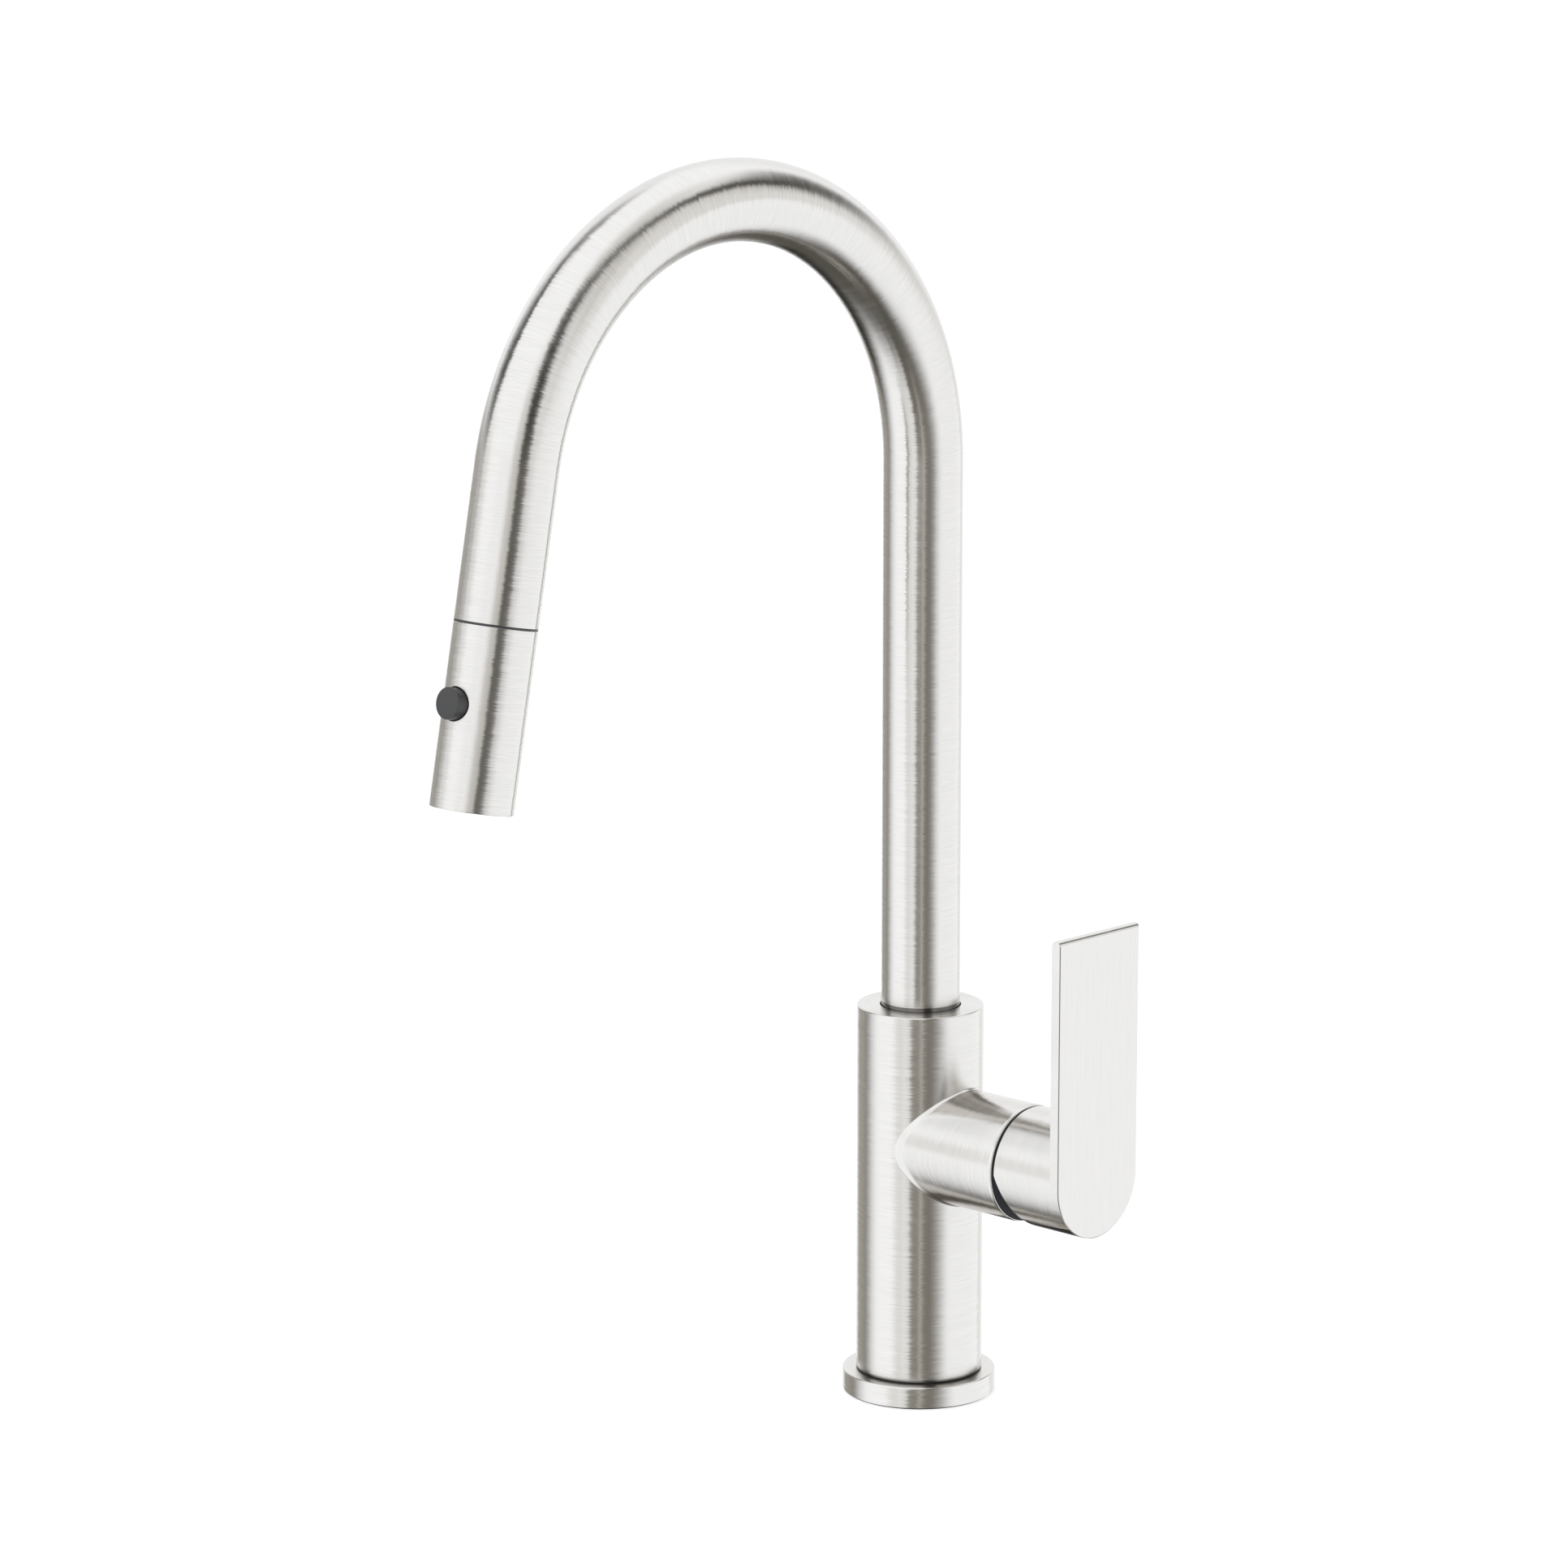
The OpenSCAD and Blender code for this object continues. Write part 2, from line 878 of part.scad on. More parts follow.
module nozzle_mat() {
    color(dark_plastic)
        on_leg() {
            tube(core_r, aerator_r + 0.05, core_end, core_end + mat_t);
            nozzle_ring()
                rod(nozzle_r, core_end + mat_t - eps, nozzle_end);
        }
}

module spray_face() {
    color(dark_plastic)
        on_leg()
            difference() {
                tube(core_r, aerator_r + 0.05, core_end + mat_t, face_end);
                nozzle_ring()
                    rod(nozzle_r + 0.05, core_end, face_end + 1);
            }
}

module aerator() {
    color(white_plastic)
        on_leg()
            difference() {
                rod(aerator_r, aerator_start, aerator_end);
                for (row = [-2:2])
                    for (column = [-2:2])
                        if (abs(row + column) < 3)
                            translate([(column + row / 2) * aerator_pitch,
                                row * aerator_pitch * sqrt(3) / 2, 0])
                                rod(aerator_hole_r, aerator_start - 1, aerator_end + 1);
            }
}

// ---- button and diverter ----

module spray_button() {
    color(dark_plastic)
        on_button()
            rotate_extrude()
                polygon([[0, button_face - button_top_t], [button_r - button_skirt_wall,
                    button_face - button_top_t], [button_r - button_skirt_wall, button_skirt],
                    [button_r, button_skirt], [button_r, button_face - 0.3],
                    [button_r - 0.3, button_face], [0, button_face]]);
}

module diverter_spool() {
    color(brass)
        on_button()
            difference() {
                union() {
                    rod(spool_rod_r, spool_low, button_face - button_top_t);
                    for (at = spool_land_at)
                        rod(spool_land_r, at, at + spool_land_t);
                }
                for (at = spool_land_at)
                    tube(spool_land_r + 1, spool_land_r - 0.8, at + 0.6, at + 0.6 + spool_seal_t);
            }
}

module spool_seals() {
    color(rubber)
        on_button()
            for (at = spool_land_at)
                tube(spool_land_r, spool_land_r - 0.8, at + 0.6, at + 0.6 + spool_seal_t);
}

module spool_guide() {
    color(white_plastic)
        on_button()
            tube(button_hole_r - 0.05, spool_rod_r + running, guide_start, guide_end);
}

module button_spring() {
    from = guide_end + spring_wire_r;
    to = button_face - button_top_t - spring_wire_r;
    steps = 12 * spring_turns;
    coil = [for (k = [0:steps])
        [spring_r * cos(30 * k), spring_r * sin(30 * k), from + (to - from) * k / steps]];
    color(steel)
        on_button()
            swept(coil, spring_wire_r, 8, [0, 0, 1]);
}

deck_gasket();
base_flange();
body_seat_ring();
body_shell();
threaded_shank();
deck_washer();
clamp_washer();
mounting_nut();
upper_glide_ring();
lower_glide_ring();
glide_circlip();
valve_housing();
valve_manifold();
manifold_seals();
manifold_screws();
cartridge_body();
cartridge_base();
cartridge_seals();
fixed_disc();
cartridge_nut();
cartridge_trim();
stem_carrier();
stem_pin();
moving_disc();
disc_holder();
cartridge_stem();
lever_handle();
lever_grub_screw();
grub_screw_plug();
spout_tube();
spout_collar();
dock_bushing();
dock_ring();
spray_hose();
hose_tail_nut();
hose_ferrule();
connector_nut();
connector_washer();
head_shell();
head_core();
head_seal();
check_valve();
nozzle_mat();
spray_face();
aerator();
spray_button();
diverter_spool();
spool_seals();
spool_guide();
button_spring();
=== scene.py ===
"""Pull-down kitchen faucet in brushed nickel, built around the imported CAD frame.

Everything is in metres in the CAD's own frame: +Z up, the deck at z = 0, the spout along -Y and the
lever on the +X side. The visible metal is rebuilt here as smooth meshes that replace their CAD nodes.
Hidden parts keep their CAD meshes and get procedural materials.
"""
import math

import bmesh
import bpy
from mathutils import Matrix, Vector


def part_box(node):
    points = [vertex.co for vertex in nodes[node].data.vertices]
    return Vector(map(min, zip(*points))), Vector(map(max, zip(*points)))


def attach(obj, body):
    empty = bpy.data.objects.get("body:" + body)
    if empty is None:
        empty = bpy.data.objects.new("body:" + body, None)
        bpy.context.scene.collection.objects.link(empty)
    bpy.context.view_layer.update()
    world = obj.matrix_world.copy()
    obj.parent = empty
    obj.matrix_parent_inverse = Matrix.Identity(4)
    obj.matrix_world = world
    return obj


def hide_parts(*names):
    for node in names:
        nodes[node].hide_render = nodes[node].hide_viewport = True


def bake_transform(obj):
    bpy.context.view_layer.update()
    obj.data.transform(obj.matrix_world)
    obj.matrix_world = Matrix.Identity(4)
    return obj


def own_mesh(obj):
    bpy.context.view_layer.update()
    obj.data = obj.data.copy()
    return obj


MM = 0.001
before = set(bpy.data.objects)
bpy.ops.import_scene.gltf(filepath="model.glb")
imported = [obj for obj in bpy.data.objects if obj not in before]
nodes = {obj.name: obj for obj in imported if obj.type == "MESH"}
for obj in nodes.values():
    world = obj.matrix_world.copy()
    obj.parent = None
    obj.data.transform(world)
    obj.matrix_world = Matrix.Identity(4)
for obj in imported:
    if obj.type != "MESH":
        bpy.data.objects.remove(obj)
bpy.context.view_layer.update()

# ---------------------------------------------------------------- camera

camera_data = bpy.data.cameras.new("camera")
camera = bpy.data.objects.new("camera", camera_data)
bpy.context.scene.collection.objects.link(camera)
camera.location = (1.35581, -1.47220, 0.63872)
camera.rotation_euler = (math.radians(78.224), 0, math.radians(44.03))
camera_data.lens = 133.23
camera_data.sensor_width = 36
camera_data.clip_start = 0.05
bpy.context.scene.camera = camera

# ---------------------------------------------------------------- sizes, the same as in part.scad

flange_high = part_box("base_flange")[1]
body_low, body_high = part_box("body_shell")
housing_low, housing_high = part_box("valve_housing")
lever_low, lever_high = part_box("lever_handle")
spout_low, spout_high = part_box("spout_tube")
shank_low, shank_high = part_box("threaded_shank")
nut_low, nut_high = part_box("mounting_nut")
tail_low, tail_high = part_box("hose_tail_nut")

body_r = body_high.x
flange_r = flange_high.x
spout_r = 14 * MM
spout_bore_r = 12.5 * MM
shell_wall = 2.5 * MM
valve_z = (housing_low.z + housing_high.z) / 2
housing_r = 20.8 * MM
hub_r = lever_high.y
arc_r = 98 * MM
arc_top = spout_high.z - arc_r - spout_r
leg_lean = math.radians(11.15)
leg_len = 51.3 * MM
head_start = 52.05 * MM
head_end = 112.65 * MM
button_s = 78.4 * MM
hose_r = 6 * MM
hose_bottom = shank_low.z - 6 * MM
hose_end = 26 * MM
grub_x = 73 * MM

# ---------------------------------------------------------------- frames that pieces are built in

UPRIGHT = Matrix.Identity(4)

# local +Z to the lever's axis (+X), local X to +Y, local Y to +Z
ON_VALVE = Matrix((
    (0, 0, 1, 0),
    (1, 0, 0, 0),
    (0, 1, 0, valve_z),
    (0, 0, 0, 1),
))

# local +Z down the outlet leg from the end of the arc, local +Y to its front
ON_LEG = (
    Matrix.Translation((0, -arc_r - arc_r * math.cos(leg_lean), arc_top + arc_r * math.sin(leg_lean)))
    @ Matrix.Rotation(math.pi - leg_lean, 4, "X")
)

# local +Z out of the spray head, along the button's axis
ON_BUTTON = ON_LEG @ Matrix.Translation((0, 0, button_s)) @ Matrix.Rotation(-math.pi / 2, 4, "X")

# local +Z straight down from the lever's axis, through the grub screw
ON_GRUB = Matrix.Translation((grub_x, 0, valve_z)) @ Matrix.Rotation(math.pi, 4, "X")

# ---------------------------------------------------------------- materials

# every brush UV takes its surface for a round one of this radius, and v goes once round it
BRUSH_R = 20 * MM


def shader_tools(tree):
    """Short helpers for building the nodes of a material or of the world."""

    def add(kind, **settings):
        node = tree.nodes.new(kind)
        for key, value in settings.items():
            setattr(node, key, value)
        return node

    def calc(operation, a, b=None):
        """An operation on one or two values, each a number or another node's output."""
        node = add("ShaderNodeMath", operation=operation)
        for socket, value in zip(node.inputs, (a, b)):
            if value is None:
                continue
            if hasattr(value, "links"):
                tree.links.new(value, socket)
            else:
                socket.default_value = value
        return node.outputs[0]

    def remap(value, low, high, start=0.0, end=1.0, smooth=False):
        """A value that goes from start to end as another goes from low to high."""
        node = add("ShaderNodeMapRange", interpolation_type="SMOOTHSTEP" if smooth else "LINEAR")
        tree.links.new(value, node.inputs["Value"])
        limits = {"From Min": low, "From Max": high, "To Min": start, "To Max": end}
        for name, limit in limits.items():
            node.inputs[name].default_value = limit
        return node.outputs[0]

    return add, tree.links.new, calc, remap


def new_material(name):
    material = bpy.data.materials.new(name)
    material.use_nodes = True
    return material, material.node_tree.nodes["Principled BSDF"]


def noise(add, link, vector, scale, detail=2.0, roughness=0.5):
    node = add("ShaderNodeTexNoise")
    node.inputs["Scale"].default_value = scale
    node.inputs["Detail"].default_value = detail
    node.inputs["Roughness"].default_value = roughness
    link(vector, node.inputs["Vector"])
    return node.outputs[0]


def tint(add, link, principled, colour, brightness):
    """Gives a shader a base colour times a brightness that varies over the surface."""
    shade = add("ShaderNodeVectorMath", operation="SCALE")
    shade.inputs[0].default_value = colour
    link(brightness, shade.inputs["Scale"])
    link(shade.outputs[0], principled.inputs["Base Color"])


def emboss(add, link, principled, height, strength, distance, normal=None):
    """Gives a shader a bump, on top of a normal if there is one."""
    bump = add("ShaderNodeBump")
    bump.inputs["Strength"].default_value = strength
    bump.inputs["Distance"].default_value = distance
    link(height, bump.inputs["Height"])
    if normal:
        link(normal, bump.inputs["Normal"])
    link(bump.outputs[0], principled.inputs["Normal"])


def brushed_metal(name, colour, contrast=1.0, foot=None, roughness=0.21):
    """Metal with fine parallel brush lines. UV u runs across the lines in metres and v once round.
    foot is (height, softness) of the upper edge of a dark band painted low on the piece. It stands
    for the step's dark mirror image there, which the shader alone gives too light."""
    line_width = 0.3 * MM
    line_length = 12 * MM
    steepest_lean = 0.19 * contrast
    dark_foot = 0.3
    material, principled = new_material(name)
    add, link, calc, remap = shader_tools(material.node_tree)
    uv = add("ShaderNodeUVMap", uv_map="brush")
    split = add("ShaderNodeSeparateXYZ")
    link(uv.outputs[0], split.inputs[0])
    turn = calc("MULTIPLY", split.outputs[1], 2 * math.pi)
    lines = add("ShaderNodeCombineXYZ")
    link(calc("MULTIPLY", split.outputs[0], 1 / line_width), lines.inputs[0])
    link(calc("MULTIPLY", calc("COSINE", turn), BRUSH_R / line_length), lines.inputs[1])
    link(calc("MULTIPLY", calc("SINE", turn), BRUSH_R / line_length), lines.inputs[2])
    fine = noise(add, link, lines.outputs[0], 1.0, detail=3.0, roughness=0.65)
    broad = noise(add, link, lines.outputs[0], 0.09)

    # each brush line leans a hair to one side, so reflections break up along it
    tangent = add("ShaderNodeTangent", direction_type="UV_MAP", uv_map="brush")
    geometry = add("ShaderNodeNewGeometry")
    side = add("ShaderNodeVectorMath", operation="CROSS_PRODUCT")
    link(geometry.outputs["Normal"], side.inputs[0])
    link(tangent.outputs[0], side.inputs[1])
    push = add("ShaderNodeVectorMath", operation="SCALE")
    link(side.outputs[0], push.inputs[0])
    link(calc("MULTIPLY", calc("SUBTRACT", fine, 0.5), steepest_lean), push.inputs["Scale"])
    tip = add("ShaderNodeVectorMath", operation="ADD")
    link(geometry.outputs["Normal"], tip.inputs[0])
    link(push.outputs[0], tip.inputs[1])
    normal = add("ShaderNodeVectorMath", operation="NORMALIZE")
    link(tip.outputs[0], normal.inputs[0])
    emboss(add, link, principled, fine, 0.12, 0.02 * MM, normal.outputs[0])

    blend = calc("ADD", calc("MULTIPLY", fine, 0.7), calc("MULTIPLY", broad, 0.3))
    brightness = remap(blend, 0.3, 0.7, 1 - 0.07 * contrast, 1 + 0.045 * contrast)
    if foot:
        height, softness = foot
        place = add("ShaderNodeTexCoord")
        position = add("ShaderNodeSeparateXYZ")
        link(place.outputs["Object"], position.inputs[0])
        rise = remap(position.outputs[2], height - softness, height + softness, dark_foot, smooth=True)
        brightness = calc("MULTIPLY", brightness, rise)
    tint(add, link, principled, colour, brightness)
    link(remap(broad, 0.25, 0.75, roughness - 0.025, roughness + 0.035), principled.inputs["Roughness"])
    link(tangent.outputs[0], principled.inputs["Tangent"])
    principled.inputs["Metallic"].default_value = 1.0
    principled.inputs["Anisotropic"].default_value = 0.85
    return material


def grained(name, colour, roughness, metallic=0.0, spread=0.08):
    """A solid with a fine grain: moulded plastic, rubber, ceramic, cast or turned metal."""
    grain_scale = 900.0
    cloud_scale = grain_scale / 25
    material, principled = new_material(name)
    add, link, _, remap = shader_tools(material.node_tree)
    place = add("ShaderNodeTexCoord").outputs["Object"]
    grain = noise(add, link, place, grain_scale, detail=4.0)
    cloud = noise(add, link, place, cloud_scale)
    tint(add, link, principled, colour, remap(cloud, 0.3, 0.7, 1 - spread, 1 + spread))
    smoothest = max(0.05, roughness - 0.06)
    roughest = min(1.0, roughness + 0.06)
    link(remap(grain, 0.3, 0.7, smoothest, roughest), principled.inputs["Roughness"])
    emboss(add, link, principled, grain, 0.3, 0.02 * MM)
    principled.inputs["Metallic"].default_value = metallic
    return material


def braided(name, colour, place):
    """A nylon braid round the local Z of place: two families of strands that pass over and under."""
    strands = 16
    material, principled = new_material(name)
    add, link, calc, remap = shader_tools(material.node_tree)
    coordinates = add("ShaderNodeTexCoord")
    local = add("ShaderNodeMapping")
    inverse = place.inverted()
    local.inputs["Location"].default_value = inverse.to_translation()
    local.inputs["Rotation"].default_value = inverse.to_euler()
    link(coordinates.outputs["Object"], local.inputs["Vector"])
    split = add("ShaderNodeSeparateXYZ")
    link(local.outputs[0], split.inputs[0])
    turn = calc("ARCTAN2", split.outputs[1], split.outputs[0])
    around = calc("MULTIPLY", turn, strands / (2 * math.pi))
    along = calc("MULTIPLY", split.outputs[2], strands / (2 * math.pi * hose_r))
    families = []
    for operation in ("ADD", "SUBTRACT"):
        place_in_family = calc(operation, around, along)
        share = calc("FRACT", place_in_family)
        crown = calc("SINE", calc("MULTIPLY", share, math.pi))
        threads = calc("MULTIPLY", calc("SINE", calc("MULTIPLY", share, 8 * math.pi)), 0.12)
        families.append((calc("FLOOR", place_in_family), calc("ADD", crown, threads)))
    over = calc("FLOORED_MODULO", calc("ADD", families[0][0], families[1][0]), 2.0)
    height = add("ShaderNodeMix")
    link(over, height.inputs["Factor"])
    link(families[0][1], height.inputs["A"])
    link(families[1][1], height.inputs["B"])
    # painted highlight and shade: the braid is lighter on the strands' crowns and darker, down to 0.35 of
    # its colour, in the creases between them
    tint(add, link, principled, colour, remap(height.outputs["Result"], 0.0, 1.0, 0.35))
    emboss(add, link, principled, height.outputs["Result"], 0.9, 0.4 * MM)
    principled.inputs["Roughness"].default_value = 0.48
    return material


NICKEL = (0.646, 0.615, 0.575)
nickel = brushed_metal("brushed_nickel", NICKEL)
lever_nickel = brushed_metal("lever_nickel", NICKEL, contrast=0.6, roughness=0.17)
housing_nickel = brushed_metal("housing_nickel", NICKEL, roughness=0.17)
body_nickel = brushed_metal("body_nickel", NICKEL, foot=(body_low.z + 0.8 * MM, 0.5 * MM))
spout_nickel = brushed_metal("spout_nickel", NICKEL, foot=(body_high.z + 1.5 * MM, 0.2 * MM))
black_plastic = grained("black_plastic", (0.037, 0.0355, 0.0345), 0.42)
white_plastic = grained("white_plastic", (0.78, 0.77, 0.74), 0.4, spread=0.03)
rubber = grained("black_rubber", (0.012, 0.012, 0.012), 0.7)
brass = grained("turned_brass", (0.80, 0.58, 0.27), 0.28, metallic=1.0, spread=0.05)
ceramic = grained("ceramic", (0.86, 0.85, 0.80), 0.15, spread=0.02)
spring_steel = grained("spring_steel", (0.62, 0.62, 0.62), 0.25, metallic=1.0, spread=0.05)
plain_steel = grained("turned_steel", (0.66, 0.65, 0.63), 0.3, metallic=1.0, spread=0.05)
# painted shade: near-black steel for the trim dome, standing for the shade in the gap before the lever's
# hub
painted_shade_steel = grained("painted_shade_steel", (0.03, 0.03, 0.031), 0.5, metallic=1.0, spread=0.08)
upright_braid = braided("upright_braid", (0.30, 0.31, 0.33), UPRIGHT)
leg_braid = braided("leg_braid", (0.30, 0.31, 0.33), ON_LEG)

BY_SLOT = {
    "steel": plain_steel,
    "black_plastic": black_plastic,
    "white_plastic": white_plastic,
    "black_rubber": rubber,
    "brass": brass,
    "ceramic": ceramic,
    "hose_grey": upright_braid,
    "spring_steel": spring_steel,
}
slot_of = {}
for node_name, node in nodes.items():
    for material_slot in node.material_slots:
        slot_of[node_name] = material_slot.material.name.split(".")[0]
        material_slot.material = BY_SLOT[slot_of[node_name]]

# ---------------------------------------------------------------- mesh helpers

def softened(corners, steps=4):
    """A closed outline of (x, y, r) corners, each turned into a small curve that starts r before it."""
    points = []
    for i, (x, y, r) in enumerate(corners):
        here = Vector((x, y))
        if r <= 0:
            points.append(here)
            continue
        before = Vector(corners[i - 1][:2])
        after = Vector(corners[(i + 1) % len(corners)][:2])
        start = here + (before - here).normalized() * r
        end = here + (after - here).normalized() * r
        for k in range(steps + 1):
            t = k / steps
            points.append(start * (1 - t) ** 2 + here * 2 * t * (1 - t) + end * t ** 2)
    return points


def lengthwise(point):
    """A flat brush UV for lines that run up and down."""
    return point.y, point.z / (2 * math.pi * BRUSH_R)


def ring_mesh(name, rings, closed=True):
    """A skin over rings of equal length. closed joins the last ring to the first, or else both ends
    are capped. The brush UV has u along the rings' order in metres and v once round."""
    count = len(rings[0])
    samples = range(0, count, max(1, count // 16))
    along = [0.0]
    order = list(range(len(rings))) + ([0] if closed else [])
    for a, b in zip(order, order[1:]):
        total = sum((rings[a][k] - rings[b][k]).length for k in samples)
        along.append(along[-1] + total / len(samples))
    mesh = bpy.data.meshes.new(name)
    built = bmesh.new()
    uv = built.loops.layers.uv.new("brush")
    rows = [[built.verts.new(point) for point in ring] for ring in rings]
    for i, (a, b) in enumerate(zip(order, order[1:])):
        for k in range(count):
            n = (k + 1) % count
            corners = (rows[a][k], rows[a][n], rows[b][n], rows[b][k])
            if len(set(corners)) < 4:
                continue
            face = built.faces.new(corners)
            places = ((along[i], k), (along[i], k + 1), (along[i + 1], k + 1), (along[i + 1], k))
            for loop, (u, step) in zip(face.loops, places):
                loop[uv].uv = (u, step / count)
    if not closed:
        for row in (rows[0], rows[-1]):
            face = built.faces.new(row)
            for loop in face.loops:
                loop[uv].uv = lengthwise(loop.vert.co)
    bmesh.ops.recalc_face_normals(built, faces=built.faces)
    for face in built.faces:
        face.smooth = True
    built.to_mesh(mesh)
    built.free()
    return mesh


def finished(name, mesh, material, sharp=32):
    """An object of a mesh, smooth but for its sharp edges, with its flat faces shaded flat."""
    mesh.set_sharp_from_angle(angle=math.radians(sharp))
    piece = bpy.data.objects.new(name, mesh)
    bpy.context.scene.collection.objects.link(piece)
    mesh.materials.clear()
    mesh.materials.append(material)
    weighted = piece.modifiers.new("weighted", "WEIGHTED_NORMAL")
    weighted.keep_sharp = True
    return piece


def placed(piece, body, replaced):
    """Rides a piece on its body in place of a CAD node, which it hides."""
    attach(piece, body)
    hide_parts(replaced)
    return piece


def turned_rings(profile, place, sides):
    """Rings round local Z of a profile of (radius, height) rows in metres, where a radius may be a
    function of the angle."""
    rings = []
    for radius, height in profile:
        ring = []
        for k in range(sides):
            a = 2 * math.pi * k / sides
            r = radius(a) if callable(radius) else radius
            ring.append(place @ Vector((r * math.cos(a), r * math.sin(a), height)))
        rings.append(ring)
    return rings


def in_metres(profile):
    """A profile of rows in mm, in metres."""
    return [tuple(value * MM for value in row) for row in profile]


def plug(radius, low, high, place, sides):
    """A closed cylinder from one height to another, to cut with."""
    return ring_mesh("plug", turned_rings([(radius, low), (radius, high)], place, sides), closed=False)


def turned(name, corners, place, body, replaced, material, sides=192):
    """A turned piece: a closed profile of (radius, height, edge) corners in mm."""
    profile = softened(in_metres(corners))
    mesh = ring_mesh(name, turned_rings(profile, place, sides))
    return placed(finished(name, mesh, material), body, replaced)


def joined(name, meshes):
    """One mesh of several."""
    built = bmesh.new()
    for part in meshes:
        built.from_mesh(part)
        bpy.data.meshes.remove(part)
    mesh = bpy.data.meshes.new(name)
    built.to_mesh(mesh)
    built.free()
    return mesh


def cut(piece, cutter_mesh, sharp=32):
    """Cuts a closed mesh out of a piece for good, before its shading modifier."""
    cutter = bpy.data.objects.new("cutter", cutter_mesh)
    bpy.context.scene.collection.objects.link(cutter)
    boolean = piece.modifiers.new("cut", "BOOLEAN")
    boolean.object = cutter
    boolean.operation = "DIFFERENCE"
    boolean.solver = "EXACT"
    piece.modifiers.move(len(piece.modifiers) - 1, 0)
    boolean = piece.modifiers[0]
    kept = [m for m in piece.modifiers if m.type != "BOOLEAN"]
    for modifier in kept:
        modifier.show_viewport = False
    bpy.context.view_layer.update()
    result = bpy.data.meshes.new_from_object(piece.evaluated_get(bpy.context.evaluated_depsgraph_get()))
    piece.modifiers.remove(boolean)
    for modifier in kept:
        modifier.show_viewport = True
    piece.data = result
    result.set_sharp_from_angle(angle=math.radians(sharp))
    bpy.data.objects.remove(cutter)


# ---------------------------------------------------------------- flange and body

def build_flange():
    """The flange, with a thin skirt round the deck gasket."""
    top = flange_high.z / MM
    r = flange_r / MM
    bore, skirt = 16.9, 26.9
    profile = [(bore, 1, 0), (skirt, 1, 0), (skirt, 0.5, 0), (r, 0.5, 0.2), (r, top, 0.55),
               (bore, top, 0.2)]
    turned("base_flange_metal", profile, UPRIGHT, "base", "base_flange", nickel, sides=256)


def build_body():
    """The round body, open at the side for the valve."""
    top = body_high.z / MM
    under_top = top - 3
    bottom = body_low.z / MM
    r = body_r / MM
    bore = r - shell_wall / MM
    mouth = 14.4
    profile = [(bore, bottom, 0), (r, bottom, 0.3), (r, top, 0.5), (mouth, top, 0.15),
               (mouth, under_top, 0), (bore, under_top, 0)]
    shell = turned("body_metal", profile, UPRIGHT, "base", "body_shell", body_nickel, sides=256)
    cut(shell, plug(19.3 * MM, 12 * MM, 30 * MM, ON_VALVE, 96))


# ---------------------------------------------------------------- valve housing

def on_body(across, up, radius):
    """The point on an upright cylinder of this radius, straight out along +X from (across, up)."""
    reach = math.sqrt(max(radius ** 2 - across ** 2, 0))
    return Vector((reach, across, valve_z + up))


def build_housing():
    """The round housing that grows out of the body's side. Its foot follows the body."""
    end = housing_high.x
    sides = 256
    rings = []

    def around(radius, lift):
        """One ring where a cylinder round the valve's axis meets one that stands off the body."""
        turns = (2 * math.pi * k / sides for k in range(sides))
        return [on_body(radius * math.cos(a), radius * math.sin(a), body_r + lift) for a in turns]

    # a narrow rounded lip where the housing meets the body, as (flare, stand-off) in mm
    lip = ((0.6, -0.05), (0.6, 0.2), (0.56, 0.36), (0.46, 0.5), (0.34, 0.6), (0.22, 0.72), (0.12, 0.9))
    for flare, lift in lip:
        rings.append(around(housing_r + flare * MM, lift * MM))
    foot = around(housing_r, 1.3 * MM)
    rings.append(foot)
    stop = end - 1.4 * MM
    for share in (0.3, 0.65, 1.0):
        rings.append([Vector((p.x + (stop - p.x) * share, p.y, p.z)) for p in foot])

    # the mouth, the bore, the floor and the outside of the neck. The first corner only gives the
    # direction that the second is rounded from
    mouth_r, bore_r, core_r = 19.2 * MM, 17.6 * MM, 3 * MM
    shoulder, floor_front, floor_back = 44.5 * MM, 22.5 * MM, 16.2 * MM
    mouth = softened([(housing_r - 1 * MM, end - 1.3 * MM, 0), (housing_r, end, 0.65 * MM),
                      (mouth_r, end, 0.15 * MM), (mouth_r, shoulder, 0), (bore_r, shoulder, 0),
                      (bore_r, floor_front, 0), (core_r, floor_front, 0), (core_r, floor_back, 0),
                      (mouth_r, floor_back, 0), (mouth_r, 22 * MM, 0)])
    rings += turned_rings(mouth[1:], ON_VALVE, sides)
    mesh = ring_mesh("valve_housing_metal", rings)
    placed(finished("valve_housing_metal", mesh, housing_nickel), "base", "valve_housing")


# ---------------------------------------------------------------- lever

